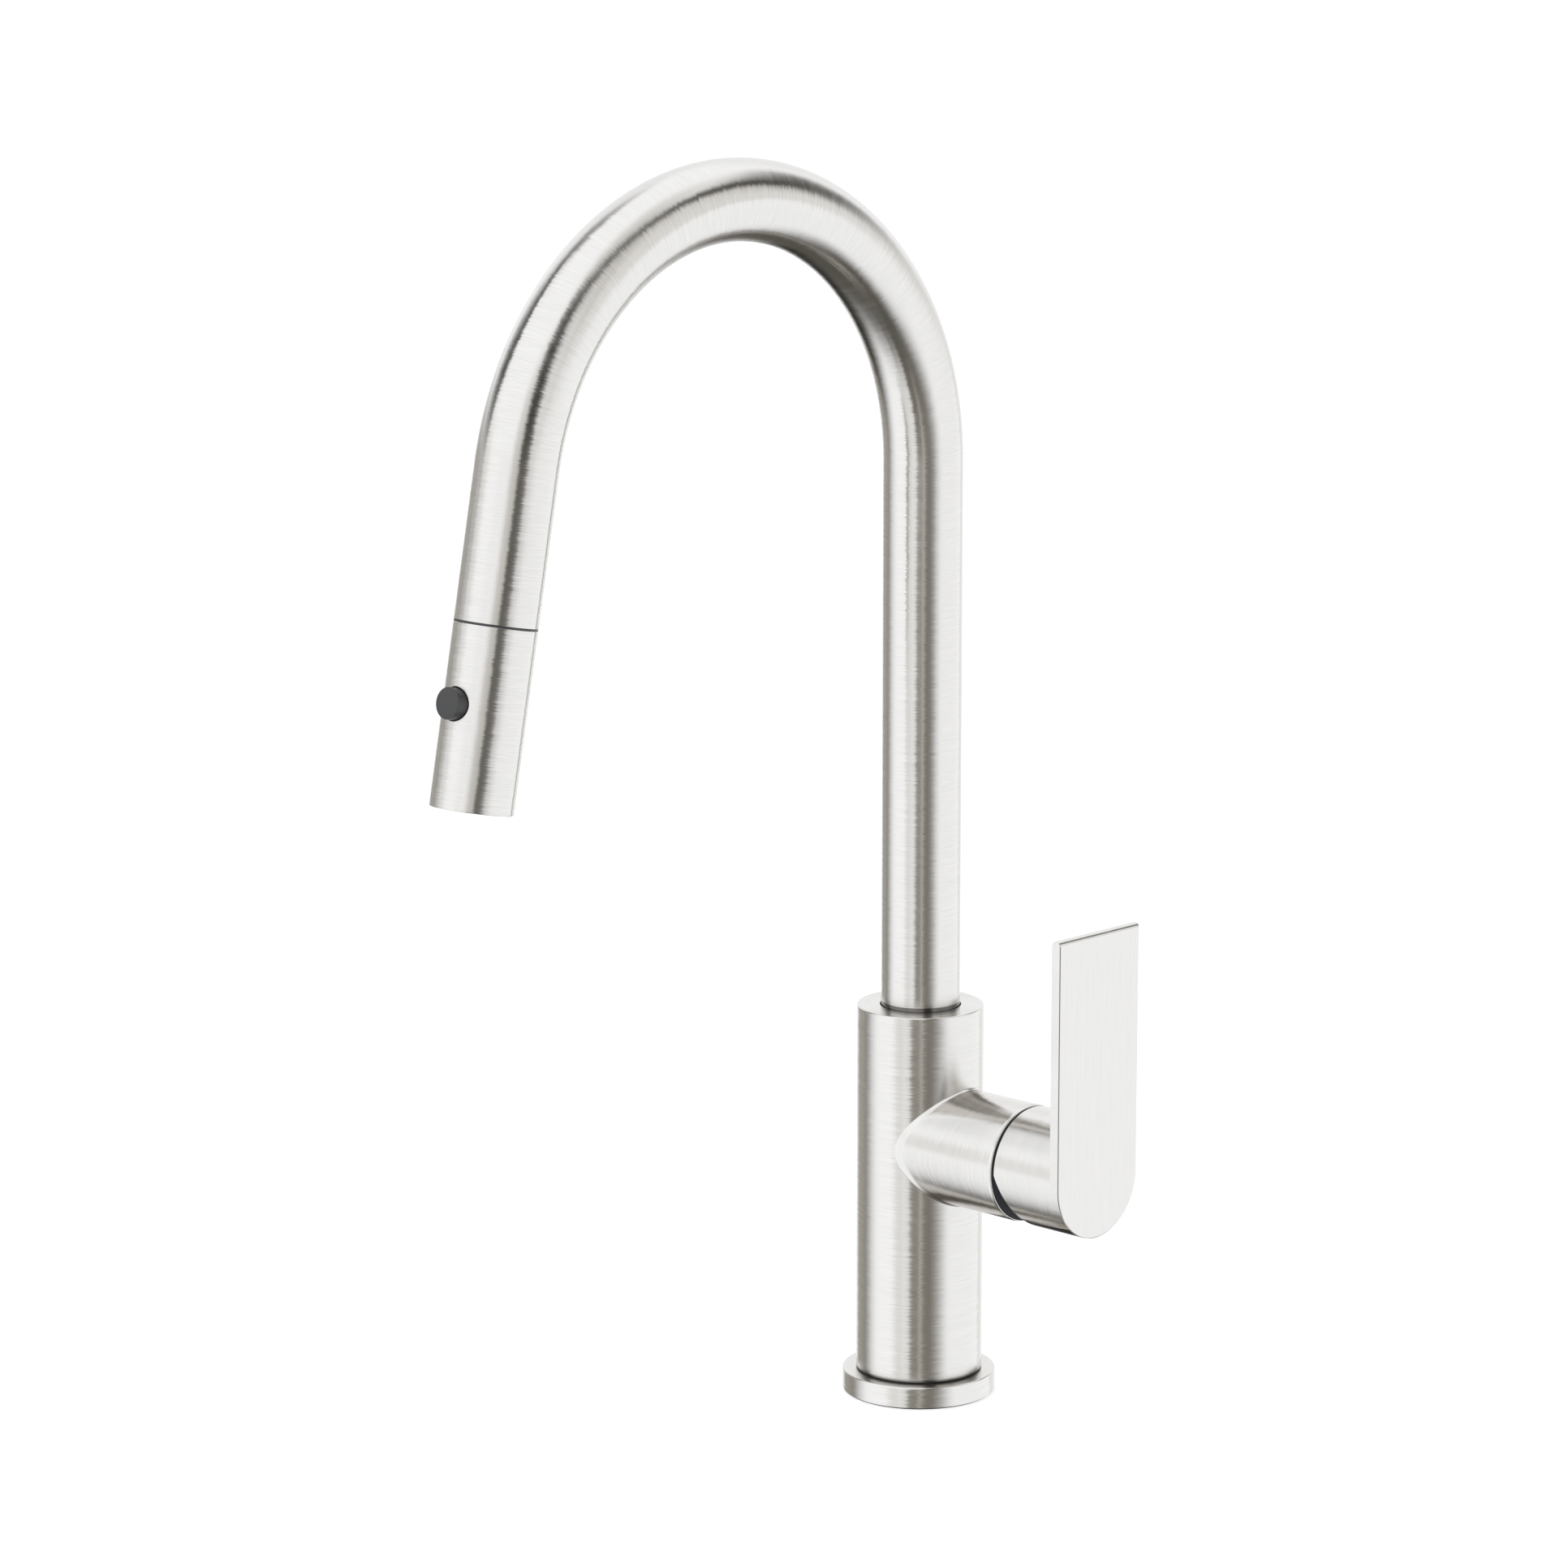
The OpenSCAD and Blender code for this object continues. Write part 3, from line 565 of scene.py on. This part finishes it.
def build_lever():
    """Hub and blade in one casting, with a hole under the hub for the grub screw."""
    start = lever_low.x
    back = lever_high.x - 3.8 * MM
    face = lever_high.x
    top = lever_high.z - valve_z
    lean = math.tan(math.radians(22.4))
    half = 128
    sides = 2 * half

    def rim(angle, radius, inward):
        """The hub's slanted end: square above the axis and cut back below it."""
        return start + inward + max(0.0, -radius * math.sin(angle)) * lean

    def hub_ring(radius, inward):
        return [
            ON_VALVE @ Vector((radius * math.cos(a), radius * math.sin(a), rim(a, radius, inward)))
            for a in (2 * math.pi * k / sides for k in range(sides))
        ]

    def plain_ring(radius, x):
        return turned_rings([(radius, x)], ON_VALVE, sides)[0]

    def outline(inset, x, crown):
        """The blade's edge at one depth: a half round below and a straight-sided top."""
        ring = []
        r = hub_r - inset
        steps_side = half // 4
        steps_top = half - 2 * steps_side
        height = top - crown
        for k in range(sides):
            if k >= half:
                a = math.pi + math.pi * (k - half) / half
                ring.append(Vector((r * math.cos(a), r * math.sin(a), x)))
            elif k < steps_side:
                ring.append(Vector((r, height * k / steps_side, x)))
            elif k < steps_side + steps_top:
                ring.append(Vector((r - 2 * r * (k - steps_side) / steps_top, height, x)))
            else:
                ring.append(Vector((-r, height * (half - k) / steps_side, x)))
        return [ON_VALVE @ p for p in ring]

    # the hub: its cavity from the floor out, then its rim and outside
    cavity_r, cavity_floor, cone_start = 18.5 * MM, 68 * MM, 61 * MM
    rings = [plain_ring(1.5 * MM, cavity_floor), plain_ring(15 * MM, cavity_floor)]
    rings.append(plain_ring(cavity_r, cone_start))
    for outwards, inward in ((0, 0.25), (0.05, 0.1), (0.2, 0)):
        rings.append(hub_ring(cavity_r + outwards * MM, inward * MM))
    for inset, inward in ((0.4, 0), (0.2, 0.05), (0.05, 0.2), (0, 0.4)):
        rings.append(hub_ring(hub_r - inset * MM, inward * MM))
    hub_start = rings[-1]
    hub_end = plain_ring(hub_r, back)
    for share in (0.35, 0.7):
        rings.append([p.lerp(q, share) for p, q in zip(hub_start, hub_end)])
    rings.append(hub_end)

    # the blade: a rounded top, and a small round where the edge meets the face
    round_r = (face - back) / 2
    edge = 0.3 * MM
    steps = 16
    for k in range(steps + 1):
        depth = (face - back) * k / steps
        crown = round_r - math.sqrt(max(round_r ** 2 - (depth - round_r) ** 2, 0))
        to_face = face - back - depth
        inset = 0.0
        if depth > round_r and to_face < edge:
            inset = edge - math.sqrt(max(edge ** 2 - (edge - to_face) ** 2, 0))
        rings.append(outline(inset, back + depth, crown))
    mesh = ring_mesh("lever_metal", rings, closed=False)
    uv = mesh.uv_layers["brush"].data
    for polygon in mesh.polygons:
        if polygon.center.x > back - 0.5 * edge:
            for corner in polygon.loop_indices:
                uv[corner].uv = lengthwise(mesh.vertices[mesh.loops[corner].vertex_index].co)
    sharp = 28
    lever = placed(finished("lever_metal", mesh, lever_nickel, sharp), "lever", "lever_handle")
    cut(lever, plug(3.2 * MM, 18.4 * MM, 22 * MM, ON_GRUB, 64), sharp)

    # the housing and body don't mirror the lever, so that their stripes stay plain
    lever.visible_glossy = False


# ---------------------------------------------------------------- spout

def spout_rings(radius, path, sides=128):
    """Rings round points of the spout's centre line, each with its outward direction in the YZ plane."""
    rings = []
    for centre, outward in path:
        rings.append([
            centre + radius * (math.cos(a) * Vector((1, 0, 0)) + math.sin(a) * outward)
            for a in (2 * math.pi * k / sides for k in range(sides))
        ])
    return rings


def spout_path(bottom, end, arc_steps=160):
    """The centre line up the riser, over the arc and down the leg to a distance from the arc's end."""
    path = []
    riser_steps, leg_steps = 9, 4
    for k in range(riser_steps):
        height = bottom + (arc_top - bottom) * k / riser_steps
        path.append((Vector((0, 0, height)), Vector((0, 1, 0))))
    turn = math.pi - leg_lean
    for k in range(arc_steps + 1):
        a = turn * k / arc_steps
        outward = Vector((0, math.cos(a), math.sin(a)))
        path.append((Vector((0, -arc_r, arc_top)) + arc_r * outward, outward))
    down = Vector((0, -math.sin(leg_lean), -math.cos(leg_lean)))
    last, outward = path[-1]
    for k in range(1, leg_steps + 1):
        path.append((last + down * end * k / leg_steps, outward))
    return path


def build_spout():
    """Riser, arch and outlet leg in one bent tube, with its outlet's edge broken."""
    path = spout_path(spout_low.z, leg_len)
    outer = spout_rings(spout_r, path[:-1])
    down = (path[-1][0] - path[-2][0]).normalized()
    end_centre, outward = path[-1]
    for back, inset in ((0.12, 0), (0.04, 0.03), (0, 0.1)):
        outer += spout_rings(spout_r - inset * MM, [(end_centre - down * back * MM, outward)])
    inner = spout_rings(spout_bore_r, path)[::-1]
    mesh = ring_mesh("spout_metal", outer + inner)
    placed(finished("spout_metal", mesh, spout_nickel), "spout", "spout_tube")


# ---------------------------------------------------------------- spray head

def build_head():
    """The spray head's shell, with a round hole for the button."""
    r = spout_r / MM
    bore = r - 1.3
    start = head_start / MM
    end = head_end / MM
    profile = [(bore, start, 0), (r, start, 0.15), (r, end, 0.25), (bore, end, 0.2)]
    shell = turned("head_metal", profile, ON_LEG, "spray_head", "head_shell", nickel)
    cut(shell, plug(5.75 * MM, 9 * MM, 17 * MM, ON_BUTTON, 96))


def build_nozzles():
    """A soft mat with sixteen tapered nozzles that stand out of the spray face."""
    outer_r, inner_r, circle_r = 12.6, 6.55, 9.7 * MM
    mat_start, mat_end, tip = 104.0, 106.0, 111.7
    mat = in_metres([(outer_r, mat_start), (outer_r, mat_end), (inner_r, mat_end), (inner_r, mat_start)])
    nozzle = in_metres([(0.9, mat_end - 0.01), (0.9, 111.05), (0.84, 111.15), (0.72, tip - 0.12),
                        (0.62, tip), (0.42, tip), (0.34, tip - 0.1), (0.34, tip - 1.2), (0.02, tip - 1.25)])
    parts = [ring_mesh("mat", turned_rings(mat, ON_LEG, 96))]
    count = 16
    for k in range(count):
        turn = Matrix.Rotation(2 * math.pi * k / count, 4, "Z")
        place = ON_LEG @ turn @ Matrix.Translation((circle_r, 0, 0))
        parts.append(ring_mesh("nozzle", turned_rings(nozzle, place, 24), closed=False))
    placed(finished("spray_nozzles", joined("spray_nozzles", parts), rubber), "spray_head", "nozzle_mat")


def build_spring():
    """The coil behind the button. It stands on the guide."""
    coil_r, wire_r, turns, steps, sides = 3.1 * MM, 0.35 * MM, 5, 24, 12
    low, high = 6.2 * MM, 13.5 * MM
    start, end = low + wire_r, high - wire_r
    rings = []
    for k in range(turns * steps + 1):
        a = 2 * math.pi * k / steps
        outward = Vector((math.cos(a), math.sin(a), 0))
        centre = coil_r * outward + Vector((0, 0, start + (end - start) * k / (turns * steps)))
        rings.append([
            ON_BUTTON @ (centre + wire_r * (math.cos(b) * outward + math.sin(b) * Vector((0, 0, 1))))
            for b in (2 * math.pi * n / sides for n in range(sides))
        ])
    spring = finished("button_coil", ring_mesh("button_coil", rings, closed=False), spring_steel)
    placed(spring, "spray_head", "button_spring")
    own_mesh(spring)


def build_aerator():
    """A ring round a honeycomb, with a screen behind it."""
    end, start, r = 111.3, 100.0, 6.5
    bore, screen, axis = r - 0.9, end - 3, 0.02
    ring = softened(in_metres([(bore, end, 0.1), (r, end, 0.25), (r, start, 0), (axis, start, 0),
                               (axis, screen, 0), (bore, screen, 0)]))
    parts = [ring_mesh("ring", turned_rings(ring, ON_LEG, 96))]
    pitch = 1.2
    outer = pitch / math.sqrt(3)
    inner = outer - 0.12
    back, front = end - 2.8, end - 0.5
    cell = in_metres([(outer, back), (outer, front), (inner, front), (inner, back)])
    for row in range(-5, 6):
        for column in range(-5, 6):
            x = (column + row / 2) * pitch
            y = row * pitch * math.sqrt(3) / 2
            if math.hypot(x, y) + outer < r - 0.75:
                centre = Matrix.Translation((x * MM, y * MM, 0))
                place = ON_LEG @ centre @ Matrix.Rotation(math.pi / 6, 4, "Z")
                parts.append(ring_mesh("cell", turned_rings(cell, place, 6)))
    mesh = joined("aerator_honeycomb", parts)
    placed(finished("aerator_honeycomb", mesh, white_plastic), "spray_head", "aerator")


# ---------------------------------------------------------------- thread, nuts and hose

def build_shank():
    """The shank, with a thread of 2 mm a turn below the deck, where the CAD has a plain cylinder."""
    r = 16.5 * MM
    bore = 14.5 * MM
    collar_r = 19.95 * MM
    low = shank_low.z
    pitch = 2 * MM
    depth = 0.9 * MM
    start = low + 1 * MM
    steps = 10
    turns = int(-start / pitch)

    def thread(height):
        groove = depth * min(1, (height - low) / (2 * MM))
        return lambda a: r - groove / 2 * (1 - math.cos(2 * math.pi * height / pitch - a))

    rows = [(bore, low), (r - 1.5 * MM, low)]
    for k in range(turns * steps):
        height = start + k * pitch / steps
        rows.append((thread(height), height))
    rows += [(r, -0.4 * MM), (r, body_low.z), (collar_r, body_low.z), (collar_r, shank_high.z),
             (bore, shank_high.z)]
    mesh = ring_mesh("shank_thread", turned_rings(rows, UPRIGHT, 128))
    placed(finished("shank_thread", mesh, brass, sharp=50), "base", "threaded_shank")


def build_nut(name, corner_r, low, high, bore, body, replaced):
    """A hexagon nut with both ends chamfered, round a bore of (radius, height) rows from the top down."""
    apothem = corner_r * math.cos(math.pi / 6)

    def hexagon(limit):
        return lambda a: min(apothem / math.cos(a % (math.pi / 3) - math.pi / 6), limit)

    slope = 1.73
    face_r = apothem * 0.985
    reach = (corner_r - apothem) / slope
    depths = [reach * share for share in (0, 0.15, 0.3, 0.45, 0.6, 0.8, 1.0, 1.15)]
    rows = [(hexagon(face_r + slope * d), low + d) for d in depths]
    rows += [(hexagon(face_r + slope * d), high - d) for d in reversed(depths)]
    mesh = ring_mesh(name, turned_rings(rows + bore, UPRIGHT, 192))
    placed(finished(name, mesh, brass), body, replaced)


def build_hose():
    """The braided hose: one piece up the shank and over the arc, and one down the leg."""
    sides = 48
    path = spout_path(hose_bottom, 8 * MM, arc_steps=96)
    sleeve = ring_mesh("hose_sleeve", spout_rings(hose_r, path, sides), closed=False)
    placed(finished("hose_sleeve", sleeve, upright_braid), "spout", "spray_hose")
    start, end = 6 * MM, hose_end - 0.1 * MM
    steps = 80
    rows = [(hose_r - 0.02 * MM, start + (end - start) * k / steps) for k in range(steps + 1)]
    mesh = ring_mesh("hose_in_leg", turned_rings(rows, ON_LEG, sides), closed=False)
    leg = finished("hose_in_leg", mesh, leg_braid)
    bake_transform(leg)


def build_connector():
    """The fluted brass nut that holds the spray head on the hose."""
    rim, step, flutes = 9.2 * MM, 0.22 * MM, 36

    def fluted(a):
        return rim - step + step * math.cos(flutes * a)

    rows = in_metres([(5.05, 33.6), (8.2, 33.6), (8.7, 34.1)])
    rows += [(fluted, 34.7 * MM), (fluted, 42.6 * MM)]
    rows += in_metres([(8.7, 43.1), (9.15, 43.5), (9.15, 45.55), (6.5, 45.55), (6.5, 37.8), (5.05, 37.8)])
    mesh = ring_mesh("connector_nut_fluted", turned_rings(rows, ON_LEG, 288))
    placed(finished("connector_nut_fluted", mesh, brass), "spray_head", "connector_nut")


# name: (CAD node, body, frame, material, closed profile of (radius, height, edge) in mm). The trim
# dome is near-black, a painted shade for the dark gap before the lever's hub, and its lip covers the
# housing's end, which would show bright in that gap
TURNED = {
    "deck_gasket_rubber": ("deck_gasket", "base", UPRIGHT, rubber,
                           [(17.2, 0, 0), (26.65, 0, 0.2), (26.65, 1, 0), (17.2, 1, 0)]),
    "body_seat_rubber": ("body_seat_ring", "base", UPRIGHT, rubber,
                         [(18, 8.1, 0), (21.9, 8.1, 0), (21.9, 8.5, 0), (18, 8.5, 0)]),
    "deck_washer_rubber": ("deck_washer", "base", UPRIGHT, rubber,
                           [(16.8, -22, 0), (27, -22, 0.5), (27, -20, 0.3), (16.8, -20, 0)]),
    "clamp_washer_steel": ("clamp_washer", "base", UPRIGHT, plain_steel,
                           [(16.8, -24, 0.2), (26, -24, 0.5), (26, -22, 0.2), (16.8, -22, 0)]),
    "valve_trim_dome": ("cartridge_trim", "base", ON_VALVE, painted_shade_steel,
                        [(12.7, 51.3, 0), (19.1, 51.3, 0), (19.1, 52.6, 0), (20.35, 52.6, 0),
                         (20.35, 52.75, 0.05), (18.9, 52.9, 0.3), (17.5, 53.4, 0.7), (16, 54.5, 0.7),
                         (14.3, 55.7, 0.6), (12.7, 56, 0)]),
    "grub_plug_black": ("grub_screw_plug", "lever", ON_GRUB, black_plastic,
                        [(0.01, 18.4, 0), (3.18, 18.4, 0), (3.18, 20.25, 0.25), (0.01, 20.3, 0)]),
    "dock_bushing_black": ("dock_bushing", "spout", ON_LEG, black_plastic,
                           [(12.1, 28.3, 0), (12.45, 28.3, 0), (12.45, 51.3, 0), (10.5, 51.3, 0),
                            (10.5, 33.3, 0)]),
    "dock_ring_black": ("dock_ring", "spout", ON_LEG, black_plastic,
                        [(10.5, 51.3, 0), (13.85, 51.3, 0), (13.85, 52, 0.1), (10.5, 52, 0.2)]),
    "hose_ferrule_brass": ("hose_ferrule", "hose_end", ON_LEG, brass,
                           [(6, 16, 0), (7.4, 16, 0.4), (7.4, 19, 0.4), (7.0, 19.6, 0.4),
                            (7.4, 20.2, 0.4), (7.4, 21.4, 0.4), (7.0, 22, 0.4), (7.4, 22.6, 0.4),
                            (7.4, 23.8, 0.4), (7.0, 24.4, 0.4), (7.4, 25, 0.4), (7.4, 33.3, 0.5),
                            (5, 33.3, 0.2), (5, 38, 0), (6.2, 38, 0.2), (6.2, 41, 0.2), (3.2, 41, 0),
                            (3.2, 26, 0), (6, 26, 0)]),
    "spray_face_black": ("spray_face", "spray_head", ON_LEG, black_plastic,
                         [(6.55, 106, 0), (12.6, 106, 0), (12.6, 110.6, 0.3), (12.1, 111, 0.3),
                          (7.4, 110.8, 0.3), (7.0, 111, 0.2), (6.55, 111, 0.1)]),
    "button_cap": ("spray_button", "button", ON_BUTTON, black_plastic,
                   [(0.01, 13.5, 0), (4.3, 13.5, 0), (4.3, 9.2, 0), (5.3, 9.2, 0), (5.3, 17.2, 0.35),
                    (4.6, 17.2, 0.1), (4.3, 17.08, 0.1), (0.01, 17, 0)]),
}

build_flange()
build_body()
build_housing()
build_lever()
build_spout()
build_head()
build_spring()
build_nozzles()
build_aerator()
build_shank()
build_nut("mounting_nut_brass", 24 * MM, nut_low.z, nut_high.z,
          [(17.3 * MM, nut_high.z), (16.6 * MM, nut_high.z - 0.7 * MM), (16.6 * MM, nut_low.z + 0.7 * MM),
           (17.3 * MM, nut_low.z)], "base", "mounting_nut")
build_nut("hose_tail_nut_brass", 9.5 * MM, tail_low.z, tail_high.z,
          [(6.8 * MM, tail_high.z), (6.05 * MM, tail_high.z - 0.7 * MM), (6.05 * MM, hose_bottom),
           (3.2 * MM, hose_bottom), (3.2 * MM, tail_low.z + 0.5 * MM), (3.7 * MM, tail_low.z)],
          "spout", "hose_tail_nut")
build_hose()
build_connector()
for piece_name, (node_name, body_name, place, material, corners) in TURNED.items():
    turned(piece_name, corners, place, body_name, node_name, material, sides=128)

# ---------------------------------------------------------------- studio

def build_world():
    """A dark studio with a white backdrop and two tall soft boxes either side of the camera."""
    world = bpy.data.worlds.new("studio")
    bpy.context.scene.world = world
    world.use_nodes = True
    tree = world.node_tree
    tree.nodes.clear()

    add, link, calc, remap = shader_tools(tree)

    def band(value, low, low_soft, high, high_soft):
        """1 between two limits and 0 outside, each limit with a softness of its own."""
        rise = remap(value, low - low_soft, low + low_soft, smooth=True)
        fall = remap(value, high - high_soft, high + high_soft, smooth=True)
        return calc("MULTIPLY", rise, calc("SUBTRACT", 1.0, fall))

    between_boxes = math.radians(47.36)
    direction = add("ShaderNodeTexCoord")
    turn = add("ShaderNodeVectorRotate", rotation_type="Z_AXIS")
    turn.inputs["Angle"].default_value = between_boxes
    link(direction.outputs["Generated"], turn.inputs["Vector"])
    split = add("ShaderNodeSeparateXYZ")
    link(turn.outputs[0], split.inputs[0])
    degrees = 180 / math.pi
    azimuth = calc("MULTIPLY", calc("ARCTAN2", split.outputs[1], split.outputs[0]), degrees)
    height = calc("MULTIPLY", calc("ARCSINE", split.outputs[2]), degrees)

    def paint(previous, level, mask):
        """Lays a light of this brightness over the room. The dimmer parts of the room are warmer."""
        brightest = 0.85
        share = min(level / brightest, 1)
        warmth = (1.058 - 0.1 * share, 1, 0.858 + 0.2 * share)
        mix = add("ShaderNodeMix", data_type="RGBA")
        link(mask, mix.inputs["Factor"])
        link(previous, mix.inputs["A"])
        mix.inputs["B"].default_value = (*(level * w for w in warmth), 1)
        return mix.outputs["Result"]

    sky = add("ShaderNodeRGB").outputs[0]
    sky.default_value = (0.078, 0.075, 0.0675, 1)

    # name: brightness, azimuth (from, softness, to, softness), elevation (from, softness, to, softness)
    # in degrees, the azimuth from a line between the boxes. A later light covers an earlier one
    all_round = (-200, 1, 200, 1)
    panels = {
        "floor behind": (0.02, (-200, 1, -122, 12), (-50, 8, 10, 1)),
        "floor far right": (0.08, (138, 6, 200, 1), (-48, 6, 10, 1)),
        "gap between the boxes": (0.13, (-20, 3, 34, 10), (-42, 10, 10, 1)),
        "upper gap": (0.20, (-19, 3, 34, 10), (-20, 14, 10, 1)),
        "dome": (0.89, all_round, (0, 4, 100, 1)),
        "dim edge of the dome": (0.62, (-9, 5, 14, 5), (0, 4, 34, 10)),
        "far dome left": (0.73, (-200, 1, -152, 12), (0, 4, 38, 12)),
        "far dome right": (0.73, (152, 12, 200, 1), (0, 4, 38, 12)),
        "canopy": (0.62, (22, 14, 104, 20), (49, 5, 68, 9)),
        "cap behind": (0.35, (-160, 12, -122, 8), (49, 5, 60, 6)),
        "left box": (0.90, (-105, 24, -38, 6), (-57, 13, 3, 4)),
        "left box's inner side": (0.68, (-47, 8, -17, 3), (-49, 11, 0, 4)),
        "left box's edge lamp": (0.76, (-31, 2, -25, 2), (-47, 10, 0, 4)),
        "seam over the left box": (0.64, (-107, 6, -80, 10), (-3, 5, 14, 7)),
        "right box": (0.865, (38, 21, 139, 4), (-60, 13, 3, 4)),
        "right box's upper part": (0.68, (38, 12, 140, 12), (1, 3, 42, 5)),
        "wall behind left": (0.30, (-150, 10, -116, 12), (-23, 7, 4, 4)),
        "wall behind": (0.68, (-200, 1, -152, 9), (-25, 6, 3, 4)),
        "wall far right": (0.68, (137, 3, 200, 1), (-28, 7, 3, 4)),
        "strip lamp": (0.38, (-1, 2, 5, 3), (-34, 9, 4, 4)),
        "dark flag": (0.03, (9, 4, 35, 6), (-1, 6, 46, 4)),
        "stand": (0.42, (60, 3, 68, 4), (16, 6, 46, 3)),
    }
    for level, sideways, upwards in panels.values():
        sky = paint(sky, level, calc("MULTIPLY", band(azimuth, *sideways), band(height, *upwards)))

    # a dark bar hangs over the right box and comes down past it
    lowered = calc("ADD", height, remap(azimuth, 60, 115, 0.0, 14.0, smooth=True))
    bar = calc("MULTIPLY", band(azimuth, 15, 5, 118, 12), band(lowered, 38, 5, 51, 6))
    sky = paint(sky, 0.05, bar)
    knot = calc("MULTIPLY", band(azimuth, 103, 10, 139, 9), band(height, 15, 7, 41, 8))
    sky = paint(sky, 0.05, knot)

    # another stands behind on the left and leans back over the top
    leant = calc("ADD", azimuth, remap(height, 30, 56, 0.0, 26.0, smooth=True))
    post = calc("MULTIPLY", band(leant, -132, 20, -101, 5), band(height, 7, 13, 55, 8))
    sky = paint(sky, 0.04, post)

    # the levels are as nickel mirrors them, so the room is brighter by what nickel takes away
    studio = add("ShaderNodeBackground")
    link(sky, studio.inputs["Color"])
    studio.inputs["Strength"].default_value = 1 / NICKEL[1]
    backdrop = add("ShaderNodeBackground")
    backdrop.inputs["Color"].default_value = (1, 1, 1, 1)
    path = add("ShaderNodeLightPath")
    pick = add("ShaderNodeMixShader")
    link(path.outputs["Is Camera Ray"], pick.inputs[0])
    link(studio.outputs[0], pick.inputs[1])
    link(backdrop.outputs[0], pick.inputs[2])
    output = add("ShaderNodeOutputWorld")
    link(pick.outputs[0], output.inputs["Surface"])


def build_floor():
    """A plain near-white deck, a hair below the gasket, that the metal's reflections don't see."""
    material, principled = new_material("floor")
    principled.inputs["Base Color"].default_value = (0.30, 0.30, 0.30, 1)
    principled.inputs["Roughness"].default_value = 0.9
    principled.inputs["Specular IOR Level"].default_value = 0.0
    principled.inputs["Emission Color"].default_value = (1, 1, 1, 1)
    principled.inputs["Emission Strength"].default_value = 0.8
    mesh = bpy.data.meshes.new("floor")
    size = 6.0
    z = -0.2 * MM
    corners = [(-size, -size, z), (size, -size, z), (size, size, z), (-size, size, z)]
    mesh.from_pydata(corners, [], [(0, 1, 2, 3)])
    mesh.materials.append(material)
    floor = bpy.data.objects.new("floor", mesh)
    bpy.context.scene.collection.objects.link(floor)
    floor.visible_glossy = False


build_world()
build_floor()
bpy.context.scene.view_settings.view_transform = "Standard"
